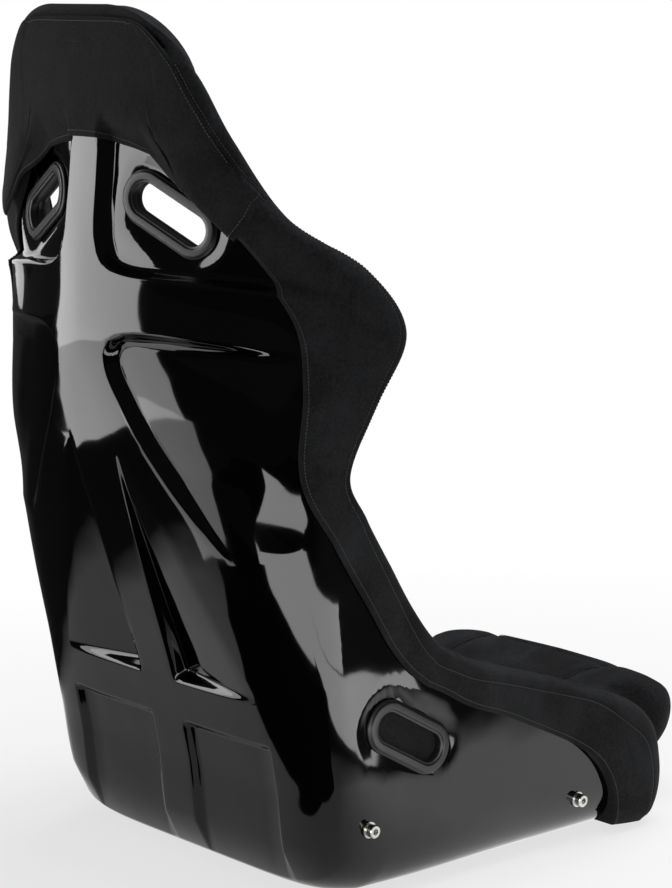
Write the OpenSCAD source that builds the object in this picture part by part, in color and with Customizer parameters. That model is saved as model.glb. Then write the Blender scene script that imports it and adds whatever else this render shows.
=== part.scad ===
// Fixed-back racing seat: laminated shell, suede-covered pads, belt-slot bezels and side-mount screws.
// The seat stands on its pan: Z is up, the occupant faces -Y, and X runs from right to left.
// The origin is the middle of the flat underside of the pan.

/* [Shell] */
// Width of the shell across the hips, mm
pan_w = 444; // [436:2:452]
// Width of the shell across the shoulder wings, mm
shoulder_w = 540; // [530:2:550]
// Width of the shell across the top of the head, mm
head_w = 244; // [236:2:252]
// Thickness of the laminate, mm
wall = 5; // [4.5:0.1:5.5]
// Depth of the pressed fields beside the spine, mm
press = 12; // [8:1:13]
// Depth of the two wedge-shaped pressings in the lower back, mm
wedge = 15; // [10:1:16]

/* [Belt slots] */
// Distance between the shoulder slots, mm
shoulder_gap = 198; // [190:2:206]
// Length of a slot's opening, mm
slot_len = 90; // [84:2:92]
// Height of a slot's opening, mm
slot_h = 29; // [27:1:31]
// Width of the bezel's flange round its opening, mm
flange = 12.5; // [10:0.5:13]

/* [Side mounts] */
// Distance between the front and rear mounting screws, mm
mount_gap = 290; // [286:1:294]
// Height of the rear screws above the underside, mm
rear_mount_z = 79; // [76:1:82]
// Height of the front screws above the underside, mm
front_mount_z = 49; // [46:1:52]

/* [Pads] */
// Thickness of the suede cover on the outside of the shell, mm
cover = 3; // [2.5:0.1:3.5]
// Thickness of the side bolsters at their crest, mm
bolster = 42; // [36:1:46]
// Thickness of the back pad in the middle, mm
back_foam = 34; // [28:1:38]
// Height of the seat cushion's front edge above the underside, mm
nose_z = 120; // [112:1:124]

/* [Hidden] */
$fn = 48;

// ---- Stations of the shell ---------------------------------------------------------------
// Each row is one section from the pan's front lip up to the top of the head:
// middle y, middle z, rim y, rim z, half width, half width at the rim, squareness, hem angle.
hw = pan_w / 2;
sw = shoulder_w / 2;
tw = head_w / 2;
STATIONS = [
    [-262, 50, -150, 58, hw - 16, hw - 16, 2.3, 50],
    [-238, 22, -155, 95, hw - 6, hw - 4, 3.6, 52],
    [-195, 3, -150, 126, hw, hw + 4, 8, 54],
    [-110, 0, -105, 155, hw, hw + 7, 11, 69],
    [0, 0, 2, 192, hw, hw + 8, 11, 78],
    [110, 0, 62, 212, hw, hw + 8, 11, 81],
    [190, 0, 92, 228, hw, hw + 8, 10, 82.5],
    [246, 30, 120, 246, hw + 1, hw + 8, 9, 82],
    [262, 120, 152, 285, hw + 2, hw + 8, 7.5, 78.6],
    [281, 205, 182, 332, hw + 4, hw + 8, 6, 76],
    [318, 320, 206, 385, hw + 6, hw + 10, 3.8, 71.4],
    [352, 430, 222, 430, hw + 12, hw + 14, 2.6, 66],
    [370, 530, 215, 500, sw - 17, sw - 10, 2, 65],
    [372, 590, 205, 565, sw, sw + 3, 1.75, 57.6],
    [368, 650, 240, 620, sw - 13, sw - 10, 1.8, 48.9],
    [363, 705, 290, 665, (sw + tw * 1.32) / 2, (sw + tw * 1.34) / 2, 2, 41],
    [360, 760, 322, 735, tw * 1.39, tw * 1.41, 2.2, 40],
    [362, 815, 338, 795, tw * 1.21, tw * 1.22, 2.4, 45],
    [364, 848, 352, 838, tw, tw, 2.4, 45]
];
LAST = len(STATIONS) - 1;

function at(i, k) = STATIONS[max(0, min(LAST, i))][k];
// Catmull-Rom value of column k at station t
function spline(t, k) =
    let (i = min(LAST - 1, max(0, floor(t))), f = t - i,
         a = at(i - 1, k), b = at(i, k), c = at(i + 1, k), d = at(i + 2, k))
    (2 * b + (c - a) * f + (2 * a - 5 * b + 4 * c - d) * f * f + (3 * b - a - 3 * c + d) * f * f * f) / 2;
function station(t) = [for (k = [0:7]) k == 1 ? max(0, spline(t, k)) : spline(t, k)];

// A point of the smooth outer surface: squared ellipse k at ray angle psi (0 middle, 90 rim)
function oval(k, psi) =
    let (n = k[6],
         r = pow(pow(abs(sin(psi)), n) + pow(abs(cos(psi)), n), -1 / n),
         q = 1 - r * cos(psi),
         x = k[4] * min(1, 1.0068 * r * sin(psi)) + (k[5] - k[4]) * pow(max(0, min(1.2, q)), 3))
    [x, k[0] + (k[2] - k[0]) * q, k[1] + (k[3] - k[1]) * q];
function side_oval(t, psi) =
    let (p = oval(station(max(0, min(LAST, t))), abs(psi)))
    [psi < 0 ? -p.x : p.x, p.y, p.z];
function unit(v) = v / norm(v);
function outward(t, psi) =
    unit(cross(side_oval(t + 0.04, psi) - side_oval(t - 0.04, psi),
               side_oval(t, psi + 0.8) - side_oval(t, psi - 0.8)));

// ---- Columns: lines that run up the shell and follow the edges of its pressings ------------
BACK = 7;  // last column of the pressed back
HEM = 13;  // column under the cover's hem
RIM = 18;  // column at the rim
function bar_x(z) = lookup(z, [[160, 25], [205, 26], [447, 32], [480, 19], [530, 14], [640, 8], [740, 8], [800, 24]]);
function spine_x(z) = lookup(z, [
    [300, 158], [345, 152], [370, 134], [426, 93], [458, 70], [496, 50], [518, 39], [535, 36], [548, 42],
    [556, 58], [562, 100], [610, 100], [614, 55], [620, 38], [630, 28], [645, 22], [735, 21], [800, 66]
]);
function wedge_x(z) =
    z < 450 ? lookup(z, [[208, 148], [447, 41]]) : (bar_x(z) + 6 + spine_x(z)) / 2;
function column_x(z, j) =
    let (a = bar_x(z), b = a + 6, w = wedge_x(z), s = spine_x(z))
    [0, a, b, (b + w) / 2, w, (w + s) / 2, s, s + 8][j];
function x_angle(k, x) =
    let (u = x / k[4])
    atan2(u, pow(1 - pow(u, k[6]), 1 / k[6]));
function column_psi(k, j) =
    j <= BACK ? x_angle(k, column_x(k[1], j)) :
    let (b = x_angle(k, column_x(k[1], BACK)))
    j <= HEM ? b + (k[7] - b) * (j - BACK) / (HEM - BACK) :
    k[7] + (90 - k[7]) * (j - HEM) / (RIM - HEM);

// ---- Pressings: how far the surface is set in at height z on column j ---------------------
// Share of the depth on column j: the upper fields stay deep until they are under the cover
function fade(z, j) =
    z > 586 ? lookup(j, [[6, 0], [7, 1], [13, 1], [14, 0.85], [15, 0.5], [16, 0.2], [17, 0]]) :
    lookup(j, [[6, 0], [7, 1], [9, 1], [10, 0.8], [11, 0.55], [12, 0.25], [13, 0]]);
function field(z) = lookup(z, [
    [345, 0], [420, press], [562, press], [570, 0], [602, 0], [610, press + 2], [736, press + 2], [766, 0]
]);
function wedge_set(z, j) =
    (j < 2 || j > 3 ? 0 : j == 2 ? 1 : 0.5) * lookup(z, [[200, 0], [208, wedge], [447, 0]]);
function corner_set(z, j) =
    (j < 2 || j > 5 ? 0 : j == 5 ? 0.5 : 1) * lookup(z, [[20, 0], [50, 7], [152, 7], [160, 0]]);
function set_in(y, z, j) = y < 0 ? 0 : field(z) * fade(z, j) + wedge_set(z, j) + corner_set(z, j);

// ---- Rows: stations of the grid, the back ones placed by height ---------------------------
function t_of_z(z, lo = 6, hi = 18, n = 22) =
    n == 0 ? (lo + hi) / 2 :
    let (mid = (lo + hi) / 2)
    spline(mid, 1) < z ? t_of_z(z, mid, hi, n - 1) : t_of_z(z, lo, mid, n - 1);
PAN_ROWS = [0, 0.4, 0.8, 1.2, 1.6, 2, 2.5, 3, 3.5, 4, 4.5, 5, 5.4, 5.7, 6, 6.3, 6.6, 6.85, 7.1];
BACK_ROWS = [
    64, 92, 122, 152, 160, 180, 200, 208, 235, 262, 290, 318, 345, 370, 396, 421, 447, 458, 476, 496, 518, 535,
    548, 556, 562, 570, 586, 602, 610, 614, 620, 630, 645, 665, 688, 705, 720, 734, 760, 788, 812, 832
];
ROWS = concat(PAN_ROWS, [for (z = BACK_ROWS) t_of_z(z)], [LAST]);
TOP = len(ROWS) - 1;
function row_of_z(z) = len(PAN_ROWS) + search(z, BACK_ROWS)[0];

K = [for (t = ROWS) station(t)];
PSI = [for (k = K) [for (j = [0:RIM]) column_psi(k, j)]];
BASE = [for (r = [0:TOP]) [for (j = [0:RIM]) side_oval(ROWS[r], PSI[r][j])]];
OUT = [for (r = [0:TOP]) [for (j = [0:RIM]) outward(ROWS[r], PSI[r][j])]];
// A point on row r and column j, d outside the moulded surface; negative columns are the right side
function skin(r, j, d) =
    let (c = abs(j), p = BASE[r][c] + OUT[r][c] * (d - set_in(K[r][0], K[r][1], c)))
    [j < 0 ? -p.x : p.x, p.y, p.z];
// The same at fractions of a row and a column
function skin_at(r, j, d) =
    let (a = min(TOP - 1, floor(r)), b = min(RIM - 1, floor(j)), u = r - a, v = j - b)
    (skin(a, b, d) * (1 - v) + skin(a, b + 1, d) * v) * (1 - u)
    + (skin(a + 1, b, d) * (1 - v) + skin(a + 1, b + 1, d) * v) * u;
// The smooth surface without its pressings, at fractions of a column
function plain(r, j, d) =
    let (c = abs(j), p = BASE[r][c] + OUT[r][c] * d)
    [j < 0 ? -p.x : p.x, p.y, p.z];
function plain_at(r, j, d) =
    let (b = min(RIM - 1, floor(j)), v = j - b)
    plain(r, b, d) * (1 - v) + plain(r, b + 1, d) * v;
// The way from the middle of section r to its rim
function forward(r) = unit([0, K[r][2] - K[r][0], K[r][3] - K[r][1]]);

// ---- A closed solid between two sheets of points, which have the same rows and columns ----
// Sheet a is the outer one: rows crossed with columns point out of the solid.
module between(a, b) {
    rows = len(a);
    cols = len(a[0]);
    n = rows * cols;
    function id(s, i, j) = s * n + i * cols + j;
    function quad(p, q, r, s) = [[p, q, r], [p, r, s]];
    function sheet(s, i, j) =
        s == 0 ? quad(id(0, i, j), id(0, i, j + 1), id(0, i + 1, j + 1), id(0, i + 1, j))
               : quad(id(1, i, j), id(1, i + 1, j), id(1, i + 1, j + 1), id(1, i, j + 1));
    function side(i, j) = quad(id(0, i + 1, j), id(1, i + 1, j), id(1, i, j), id(0, i, j));
    function far_side(i, j) = quad(id(0, i, j), id(1, i, j), id(1, i + 1, j), id(0, i + 1, j));
    function end(i, j) = quad(id(0, i, j), id(1, i, j), id(1, i, j + 1), id(0, i, j + 1));
    function far_end(i, j) = quad(id(0, i, j + 1), id(1, i, j + 1), id(1, i, j), id(0, i, j));
    faces = concat(
        [for (s = [0, 1], i = [0:rows - 2], j = [0:cols - 2], f = sheet(s, i, j)) f],
        [for (i = [0:rows - 2], f = concat(side(i, 0), far_side(i, cols - 1))) f],
        [for (j = [0:cols - 2], f = concat(end(0, j), far_end(rows - 1, j))) f]
    );
    polyhedron(points = concat([for (row = a) each row], [for (row = b) each row]), faces = faces,
               convexity = 8);
}
module right() { mirror([1, 0, 0]) children(); }
function mix(a, b, f) = a * (1 - f) + b * f;

// ---- Belt slots --------------------------------------------------------------------------
// A slot's local X lies along it and its local Z points out of the shell; all are on the left.
module stadium(len, h) {
    square([len - h, h], center = true);
    for (s = [-1, 1]) translate([s * (len - h) / 2, 0]) circle(d = h);
}
module bar(len, h, z0, z1) {
    translate([0, 0, z0]) linear_extrude(z1 - z0) stadium(len, h);
}
module at_shoulder() {
    translate([shoulder_gap / 2, 338, 668]) rotate([0, 0, -16]) rotate([3, 0, 0]) rotate([-90, 0, 0])
        rotate([0, 0, 26.4]) children();
}
module at_lap() {
    translate([hw + 6, 149, 162]) rotate([0, 90, 0]) rotate([0, 0, -60]) children();
}
module at_crotch() {
    translate([0, -60, 0]) children();
}
bezel_len = slot_len + 2 * flange;
bezel_h = slot_h + 2 * flange;
bezel_t = 5;          // height of a bezel's flange
seat_out = -bezel_t;  // where the outer flange sits, below its own face
shoulder_in = -14;    // where the inner shoulder flange sits
lap_in = -43;         // where the inner lap flange sits
cushion_top = 90;     // height of the cushion round the crotch slot
// A flange with a stepped edge on z = 0 and a sleeve below it
module bezel(sleeve) {
    difference() {
        union() {
            bar(bezel_len, bezel_h, 0, bezel_t * 0.55);
            bar(bezel_len - 4, bezel_h - 4, bezel_t * 0.55, bezel_t);
            bar(slot_len + 5, slot_h + 5, -sleeve, 1);
        }
        bar(slot_len, slot_h, -sleeve - 1, bezel_t + 1);
        bar(slot_len + 5, slot_h + 5, bezel_t - 1.6, bezel_t + 1);
    }
}
module flip() { rotate([180, 0, 0]) children(); }
module both() { for (m = [0, 1]) mirror([m, 0, 0]) children(); }

// ---- Side mounts -------------------------------------------------------------------------
rear_mount_y = 198;
drop = rear_mount_z - front_mount_z;
MOUNTS = [
    [rear_mount_y, rear_mount_z],
    [rear_mount_y - sqrt(mount_gap * mount_gap - drop * drop), front_mount_z]
];
washer_t = 1.6;
head_d = 13;
head_h = 8;
// Local Z points out of the flank
module at_mounts() {
    for (m = MOUNTS, s = [-1, 1]) translate([s * hw, m[0], m[1]]) rotate([0, s * 90, 0]) children();
}

// ==== Rigid pieces ========================================================================
module shell() {
    color("#0b0b0d")
    difference() {
        union() {
            between([for (r = [0:TOP]) [for (j = [-RIM:RIM]) skin(r, j, 0)]],
                    [for (r = [0:TOP]) [for (j = [-RIM:RIM]) skin(r, j, -wall)]]);
            both() {
                intersection() {
                    at_shoulder() bar(bezel_len + 7, bezel_h + 7, shoulder_in - 2, 12);
                    between([for (r = [45:57]) [for (j = [5:17]) skin(r, j, -0.6)]],
                            [for (r = [45:57]) [for (j = [5:17]) skin(r, j, -24)]]);
                }
                at_lap() bar(bezel_len + 7, bezel_h + 7, -14, seat_out - 0.5);
            }
        }
        both() {
            at_shoulder() {
                bar(slot_len + 6, slot_h + 6, -60, 40);
                bar(bezel_len + 1, bezel_h + 1, seat_out, 40);
                bar(bezel_len + 1, bezel_h + 1, -60, shoulder_in);
            }
            at_lap() {
                bar(slot_len + 6, slot_h + 6, -30, 30);
                bar(bezel_len + 1, bezel_h + 1, seat_out, 30);
            }
        }
        at_crotch() bar(slot_len + 6, slot_h + 6, -20, 20);
        at_mounts() cylinder(d = 14, h = 30, center = true);
    }
}
module shoulder_bezel_rear() { color("#2c2c30") at_shoulder() translate([0, 0, seat_out]) bezel(4); }
module shoulder_bezel_front() { color("#2c2c30") at_shoulder() translate([0, 0, shoulder_in]) flip() bezel(4); }
module lap_bezel_outer() { color("#2c2c30") at_lap() translate([0, 0, seat_out]) bezel(24); }
module lap_bezel_inner() { color("#2c2c30") at_lap() translate([0, 0, lap_in]) flip() bezel(22); }
module crotch_bezel_pan() { color("#2c2c30") at_crotch() translate([0, 0, wall + 0.2]) bezel(4.5); }
module crotch_bezel_cushion() { color("#2c2c30") at_crotch() translate([0, 0, cushion_top]) bezel(30); }

// Socket-head cap screw, its head on the washer and its shank in the insert
module mount_screws() {
    color("silver") at_mounts() difference() {
        union() {
            translate([0, 0, washer_t]) cylinder(d = head_d, h = head_h - 0.8);
            translate([0, 0, washer_t + head_h - 0.8]) cylinder(d1 = head_d, d2 = head_d - 1.6, h = 0.8);
            translate([0, 0, -14]) cylinder(d = 8, h = 16);
        }
        translate([0, 0, washer_t + head_h - 4.5]) cylinder(d = 6.9, h = 6, $fn = 6);
    }
}
module mount_washers() {
    color("silver") at_mounts() difference() {
        cylinder(d = 16, h = washer_t);
        translate([0, 0, -1]) cylinder(d = 8.4, h = 4);
    }
}
// Flanged steel insert set in the laminate from the inside
module mount_inserts() {
    color("dimgray") at_mounts() difference() {
        union() {
            translate([0, 0, -wall - 9]) cylinder(d = 13.6, h = wall + 9);
            translate([0, 0, -wall - 2.2]) cylinder(d = 30, h = 2);
        }
        translate([0, 0, -wall - 10]) cylinder(d = 8.4, h = 40);
    }
}

// ==== Soft pieces: each a closed solid between its cover and what it lies on =================
gap = 0.8;  // clearance between a cover and the shell
out_d = gap + cover;
in_d = -wall - gap;
side_foam = 28;
head_foam = 30;
foam_d = -wall - press - 4;  // back face of the foam, clear of every pressing
// Column where the bolsters meet the middle pads in row r: further out beside the shoulder slots
function split(r) = lookup(r, [[43, 9], [45, 11], [47, 12.4], [54, 12.4], [55, 11.8], [57, 9.6], [58, 9]]);
// Cover side of a bolster in section r: hem, outer face, rolled crest, inner face
function bolster_cover(r, thick, rise) =
    let (p = skin(r, RIM, out_d), q = p - [thick + 8, 0, 0], f = forward(r), s = split(r),
         base = plain_at(r, s, -wall - lookup(s, [[9, press + side_foam], [12.4, side_foam]])))
    concat([for (j = [HEM:RIM]) skin(r, j, out_d)],
           [for (a = [45, 90, 135]) mix(p, q, (1 - cos(a)) / 2) + f * rise * sin(a)],
           [for (u = [0:1 / 3:1]) mix(q, base, u)]);
// Shell side of the same section: down round the rim to the split column
function bolster_back(r) =
    let (f = forward(r))
    concat([for (j = [HEM:RIM]) skin(r, j, gap)],
           [skin(r, RIM, gap) + f * gap, skin(r, RIM, in_d) + f * gap],
           [for (k = [0:4]) skin_at(r, 17 - (17 - split(r)) * k / 4, in_d)]);
function ends(rows, a, b) =
    [for (i = [0:len(rows) - 1])
        i == 0 ? mix(rows[0], rows[1], a) : i == len(rows) - 1 ? mix(rows[i - 1], rows[i], 1 - b) : rows[i]];
module run_bolster(rows, thick, rise) {
    between(ends([for (r = rows) bolster_cover(r, thick, rise)], 0.02, 0.02),
            ends([for (r = rows) bolster_back(r)], 0.02, 0.02));
}
THIGH_ROWS = [5:11];
SIDE_ROWS = [11, 13, 16, 18, 19, 21, 24, 27, 30, 31, 32, 33, 34, 35];
WING_ROWS = [35, 37, 39, 41, 43, 45, 47, 49, 51, 53, 54, 55];
HEAD_ROWS = [55:TOP];
module thigh_bolster() {
    color("#1d1d1f") run_bolster([for (r = THIGH_ROWS) r], bolster, 12);
}
module side_bolster() {
    color("#1d1d1f") difference() {
        run_bolster([for (r = SIDE_ROWS) r], bolster, 12);
        at_lap() {
            bar(slot_len + 6, slot_h + 6, -120, 30);
            bar(bezel_len + 1, bezel_h + 1, -120, lap_in);
            bar(bezel_len + 1, bezel_h + 1, -14, 30);
        }
        at_mounts() cylinder(d = 32, h = 46, center = true);
    }
}
module wing() {
    color("#1d1d1f") difference() {
        run_bolster(WING_ROWS, bolster - 4, 12);
        at_shoulder() bar(bezel_len + 2, bezel_h + 2, -60, 20);
    }
}
module head_side() { color("#1d1d1f") run_bolster([for (r = HEAD_ROWS) r], bolster - 2, 10); }

// Rounded front end of a thigh bolster, closed over the shell's corner
module thigh_nose() {
    x0 = 186;
    x1 = hw - 20;
    r = 34;
    color("#1d1d1f") difference() {
        hull() for (p = [[-202, 37], [-196, 92], [-158, 116], [-172, 37]]) {
            translate([x1, p[0], p[1]]) sphere(r, $fn = 15);
            translate([x0, p[0] - 4, p[1]]) rotate([0, 90, 0]) cylinder(r = r, h = 2, center = true, $fn = 15);
        }
        between([for (r = [0, 1, 3, 5, 6]) [for (j = [7:RIM]) skin(r, j, gap)]],
                [for (r = [0, 1, 3, 5, 6]) [for (j = [7:RIM]) skin(r, j, -wall - gap)]]);
        translate([0, -195.6, 3]) rotate([-atan2(45, 123), 0, 0]) translate([0, 0, -50]) cube([400, 200, 300]);
    }
}

// Pad between the bolsters: its face crowned and sewn down in two channels
PAD_COLUMNS = [-8.8, -8.4, -7.5, -6, -4.4, -4, -3.6, -2, 0, 2, 3.6, 4, 4.4, 6, 7.5, 8.4, 8.8];
function pad_column(r, j) = j * (split(r) - 0.2) / 8.8;
function channel(j) = abs(j) == 4 ? 6 : 0;
module middle_pad(rows, thick, edge) {
    n = len(rows) - 1;
    function rise(i, j) =
        let (u = 2 * i / n - 1, v = j / 8.8)
        edge + (thick - edge) * (1 - pow(abs(u), 6)) * (1 - pow(abs(v), 6)) - channel(j);
    function sheet(front) =
        ends([for (i = [0:n]) [for (j = PAD_COLUMNS)
            plain_at(rows[i], pad_column(rows[i], j), foam_d - front * rise(i, j))]], 0.04, 0.04);
    between(sheet(0), sheet(1));
}
module back_pad() { color("#1d1d1f") middle_pad([29, 31, 33, 35, 37, 39, 41, 43, 44, 45], back_foam, 14); }
module lumbar_pad() { color("#1d1d1f") middle_pad([18, 19, 20, 21, 23, 25, 27, 29], back_foam + 6, 14); }
// Thin pad across the shoulders, open round the belt slots
module shoulder_panel() {
    color("#1d1d1f") difference() {
        middle_pad([45, 47, 49, 51, 53, 55, 56], 12, 9);
        both() at_shoulder() bar(bezel_len + 1, bezel_h + 1, -80, 20);
    }
}
// Seat cushion: lies on the pan, its rounded nose over the front lip, cut for the crotch strap.
// Each row: row of the pan below, y and z of its top, width factor.
CUSHION_ROWS = [
    [0, -284, nose_z - 68, 0.86], [0.2, -301, nose_z - 58, 0.875], [0.4, -310, nose_z - 41, 0.885],
    [0.7, -311, nose_z - 24, 0.9], [1.2, -303, nose_z - 9, 0.915], [2, -286, nose_z - 1, 0.94],
    [3, -262, nose_z + 1, 0.965], [4.2, -225, nose_z - 1, 0.985], [6, -165, nose_z - 11, 1],
    [7, -118, 100, 1], [7.5, -85, 95, 1], [8.4, -35, 93, 1], [9.2, 20, 87, 1], [10.4, 75, 81, 1],
    [11.4, 125, 77, 1], [13, 168, 72, 0.99], [14.6, 196, 60, 0.97]
];
// Each column: column of the pan below, half width of its top, how far it stands up
CUSHION_COLUMNS = [[0.5, 14, 1], [1.5, 42, 1], [2.6, 76, 1], [3, 89, 0.965], [3.3, 102, 1], [3.7, 132, 0.985],
    [4, 156, 0.9], [6, 169, 0.6], [7, 166, 0.2]];
CUSHION_SPAN = len(CUSHION_COLUMNS);
module seat_cushion() {
    function column(j) =
        let (c = j < CUSHION_SPAN ? CUSHION_COLUMNS[CUSHION_SPAN - 1 - j] : CUSHION_COLUMNS[j - CUSHION_SPAN],
             s = j < CUSHION_SPAN ? -1 : 1)
        [s * c[0], s * c[1], c[2]];
    function under(i, j) = skin_at(CUSHION_ROWS[i][0], column(j)[0], in_d - 2.6);
    function over(i, j) =
        let (k = CUSHION_ROWS[i], c = column(j), b = under(i, j), x = c[1] * k[3],
             y = k[1] + 22 * max(0, 1 - i / 8) * pow(abs(x) / 160, 4),
             p = mix(b, [x, y, k[2] + 4 * (1 - pow(x / 160, 2))], c[2]))
        [x, p.y, p.z];
    color("#1d1d1f") difference() {
        between([for (i = [0:len(CUSHION_ROWS) - 1]) [for (j = [2 * CUSHION_SPAN - 1:-1:0]) over(i, j)]],
                [for (i = [0:len(CUSHION_ROWS) - 1]) [for (j = [2 * CUSHION_SPAN - 1:-1:0]) under(i, j)]]);
        at_crotch() bar(slot_len + 6, slot_h + 6, -20, 200);
        at_crotch() bar(bezel_len + 1, bezel_h + 1, cushion_top, 200);
    }
}
// Hook-and-loop strips that hold the cushion down
module grip_strips() {
    color("#141414") for (s = [-1, 1]) translate([s * 112 - 25, -140, wall + 0.05]) cube([50, 270, 2]);
}

// Cover on the back of the head, its lower edge a shallow arch
module head_cover() {
    n = 7;
    function edge(j) = 56 - lookup(abs(j), [[8, 0], [9.5, 0.15], [11.4, 1], [13, 1.6]]);
    function row(i, j) = edge(j) + (TOP - 0.03 - edge(j)) * i / n;
    cols = [-12.96, -12, -11, -10, -9, -8, -7, -6, 0, 6, 7, 8, 9, 10, 11, 12, 12.96];
    color("#1d1d1f")
    between([for (i = [0:n]) [for (j = cols) skin_at(row(i, j), j, out_d)]],
            [for (i = [0:n]) [for (j = cols) skin_at(row(i, j), j, gap)]]);
}
// Padded roll over the top edge of the head, as deep as the laminate and the foam together
module head_roll() {
    cols = [-16.4, -15.6, -14.6, -13.4, -12, -9.5, -7, 0, 7, 9.5, 12, 13.4, 14.6, 15.6, 16.4];
    depth = wall + head_foam + 4;
    function up(j) = unit(skin_at(TOP, j, 0) - skin_at(TOP - 1, j, 0));
    function back(j, d, in) = let (p = skin_at(TOP, j, d)) p - [p.x * 0.12 * in, depth * in, 0];
    color("#1d1d1f")
    between([for (a = [0, 45, 90, 135, 180]) [for (j = cols)
                back(j, out_d, (1 - cos(a)) / 2) + up(j) * (0.5 + 12 * sin(a))]],
            [for (a = [0:0.25:1]) [for (j = cols) back(j, gap, a * 0.9) + up(j) * 0.4]]);
}
module head_pad() { color("#1d1d1f") middle_pad([56, 57, 58, 59, 60, 61], head_foam, 12); }

shell();
right() shoulder_bezel_rear();  // shoulder_bezel_rear_right
shoulder_bezel_rear();  // shoulder_bezel_rear_left
right() shoulder_bezel_front();  // shoulder_bezel_front_right
shoulder_bezel_front();  // shoulder_bezel_front_left
right() lap_bezel_outer();  // lap_bezel_outer_right
lap_bezel_outer();  // lap_bezel_outer_left
right() lap_bezel_inner();  // lap_bezel_inner_right
lap_bezel_inner();  // lap_bezel_inner_left
crotch_bezel_pan();
crotch_bezel_cushion();
mount_screws();
mount_washers();
mount_inserts();
head_cover();
head_roll();
head_pad();
right() head_side();  // head_side_right
head_side();  // head_side_left
right() wing();  // wing_right
wing();  // wing_left
right() side_bolster();  // side_bolster_right
side_bolster();  // side_bolster_left
right() thigh_bolster();  // thigh_bolster_right
thigh_bolster();  // thigh_bolster_left
right() thigh_nose();  // thigh_nose_right
thigh_nose();  // thigh_nose_left
shoulder_panel();
back_pad();
lumbar_pad();
seat_cushion();
grip_strips();
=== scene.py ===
# %% [markdown]
# # A fixed-back racing seat
# The seat is one thin laminated shell, glossy black outside, with suede-covered foam inside. The
# imported CAD model gives every place and size. This script rebuilds its visible parts as finer
# surfaces, except the screws, washers, inserts and grip strips, which it keeps; it gives each part
# its material and sets the camera and the lamps.

import math

import bpy
import numpy as np
from mathutils import Matrix


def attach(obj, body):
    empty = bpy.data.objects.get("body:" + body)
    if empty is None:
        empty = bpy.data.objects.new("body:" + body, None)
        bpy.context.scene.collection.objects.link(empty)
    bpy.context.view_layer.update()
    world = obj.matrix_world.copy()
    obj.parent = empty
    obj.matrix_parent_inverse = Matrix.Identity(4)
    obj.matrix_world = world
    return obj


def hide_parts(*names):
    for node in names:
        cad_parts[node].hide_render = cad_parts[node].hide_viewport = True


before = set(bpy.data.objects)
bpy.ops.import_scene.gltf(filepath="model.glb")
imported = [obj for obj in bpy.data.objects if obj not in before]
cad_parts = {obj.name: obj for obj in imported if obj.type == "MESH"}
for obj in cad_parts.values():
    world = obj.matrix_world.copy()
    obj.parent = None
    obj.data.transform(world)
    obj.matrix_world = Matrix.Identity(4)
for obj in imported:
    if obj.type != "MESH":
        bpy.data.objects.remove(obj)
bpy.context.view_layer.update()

# %% [markdown]
# ## The camera
# A long lens from behind and to one side of the seat. Its place and its three axes are written as
# numbers, so that the view doesn't depend on the size of the picture that Blender happens to hold.

# %% Camera
eye = (-2.0085, 1.8098, 0.8760)
right, up, back = (-0.6601, -0.7512, 0.0), (0.1298, -0.1140, 0.9850), (-0.7399, 0.6501, 0.1728)
lens = bpy.data.cameras.new("camera")
lens.sensor_fit = "VERTICAL"
lens.sensor_height = 36
lens.lens = 106.2
camera = bpy.data.objects.new("camera", lens)
camera.matrix_world = Matrix([[right[i], up[i], back[i], eye[i]] for i in range(3)]
                             + [[0, 0, 0, 1]])
bpy.context.scene.collection.objects.link(camera)
bpy.context.scene.camera = camera
print("camera at", eye)

# %% [markdown]
# ## The sections of the shell
# The shell is a loft: one squared ellipse after another, from the front lip of the pan, back to the
# heel and up to the top of the head. Each row of the table is one section: the height and place of
# its middle and of its rim, its half widths, how square it is, and the angle at which the cover's
# hem lies. Between the rows a smooth curve is drawn, so few numbers make a whole body. All sizes
# are in mm.

# %% Stations
STATIONS = np.array([
    # middle y, z, rim y, z, half width, at the rim, squareness, hem angle
    [-262, 50, -150, 58, 206, 206, 2.3, 50],
    [-238, 22, -155, 95, 216, 218, 3.6, 52],
    [-195, 3, -150, 126, 222, 226, 6.5, 54],
    [-110, 0, -105, 155, 222, 229, 7.5, 69],
    [0, 0, 2, 192, 222, 230, 8, 78],
    [110, 0, 62, 212, 222, 230, 8.5, 81],
    [190, 0, 92, 228, 222, 230, 8, 82.5],
    [246, 30, 120, 246, 223, 230, 7, 82],
    [262, 120, 152, 285, 224, 230, 7.5, 78.6],
    [281, 205, 182, 332, 226, 230, 6, 76],
    [318, 320, 214, 385, 228, 232, 3.7, 71.4],
    [352, 430, 236, 430, 232, 234, 2.65, 66],
    [370, 530, 223, 500, 249, 257, 1.98, 65],
    [372, 590, 205, 565, 270, 273, 1.75, 57.6],
    [368, 650, 240, 620, 257, 260, 1.8, 48.9],
    [362, 705, 288, 665, 207, 208, 1.9, 41],
    [358, 760, 318, 735, 165, 167, 2, 40],
    [361, 815, 336, 795, 138, 136, 2.2, 45],
    [364, 848, 352, 836, 102, 99, 2.6, 45],
], float)
LAST = len(STATIONS) - 1
WALL, PRESS, WEDGE = 5.0, 12.0, 15.0  # the laminate, and how deep its fields and wedges are pressed
FULL_WIDTH = 1.0068  # a section reaches its half width a little before its side
BACK, HEM, RIM = 7, 13, 18  # columns: last one of the pressed back, under the hem, at the rim


def catmull_rom(points, f):
    """The smooth curve from the second of four points to the third, a share f of the way: a cubic
    whose slope at each of the two is half the way between its neighbours."""
    a, b, c, d = points
    return (2 * b + (c - a) * f + (2 * a - 5 * b + 4 * c - d) * f**2
            + (3 * b - a - 3 * c + d) * f**3) / 2


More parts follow.
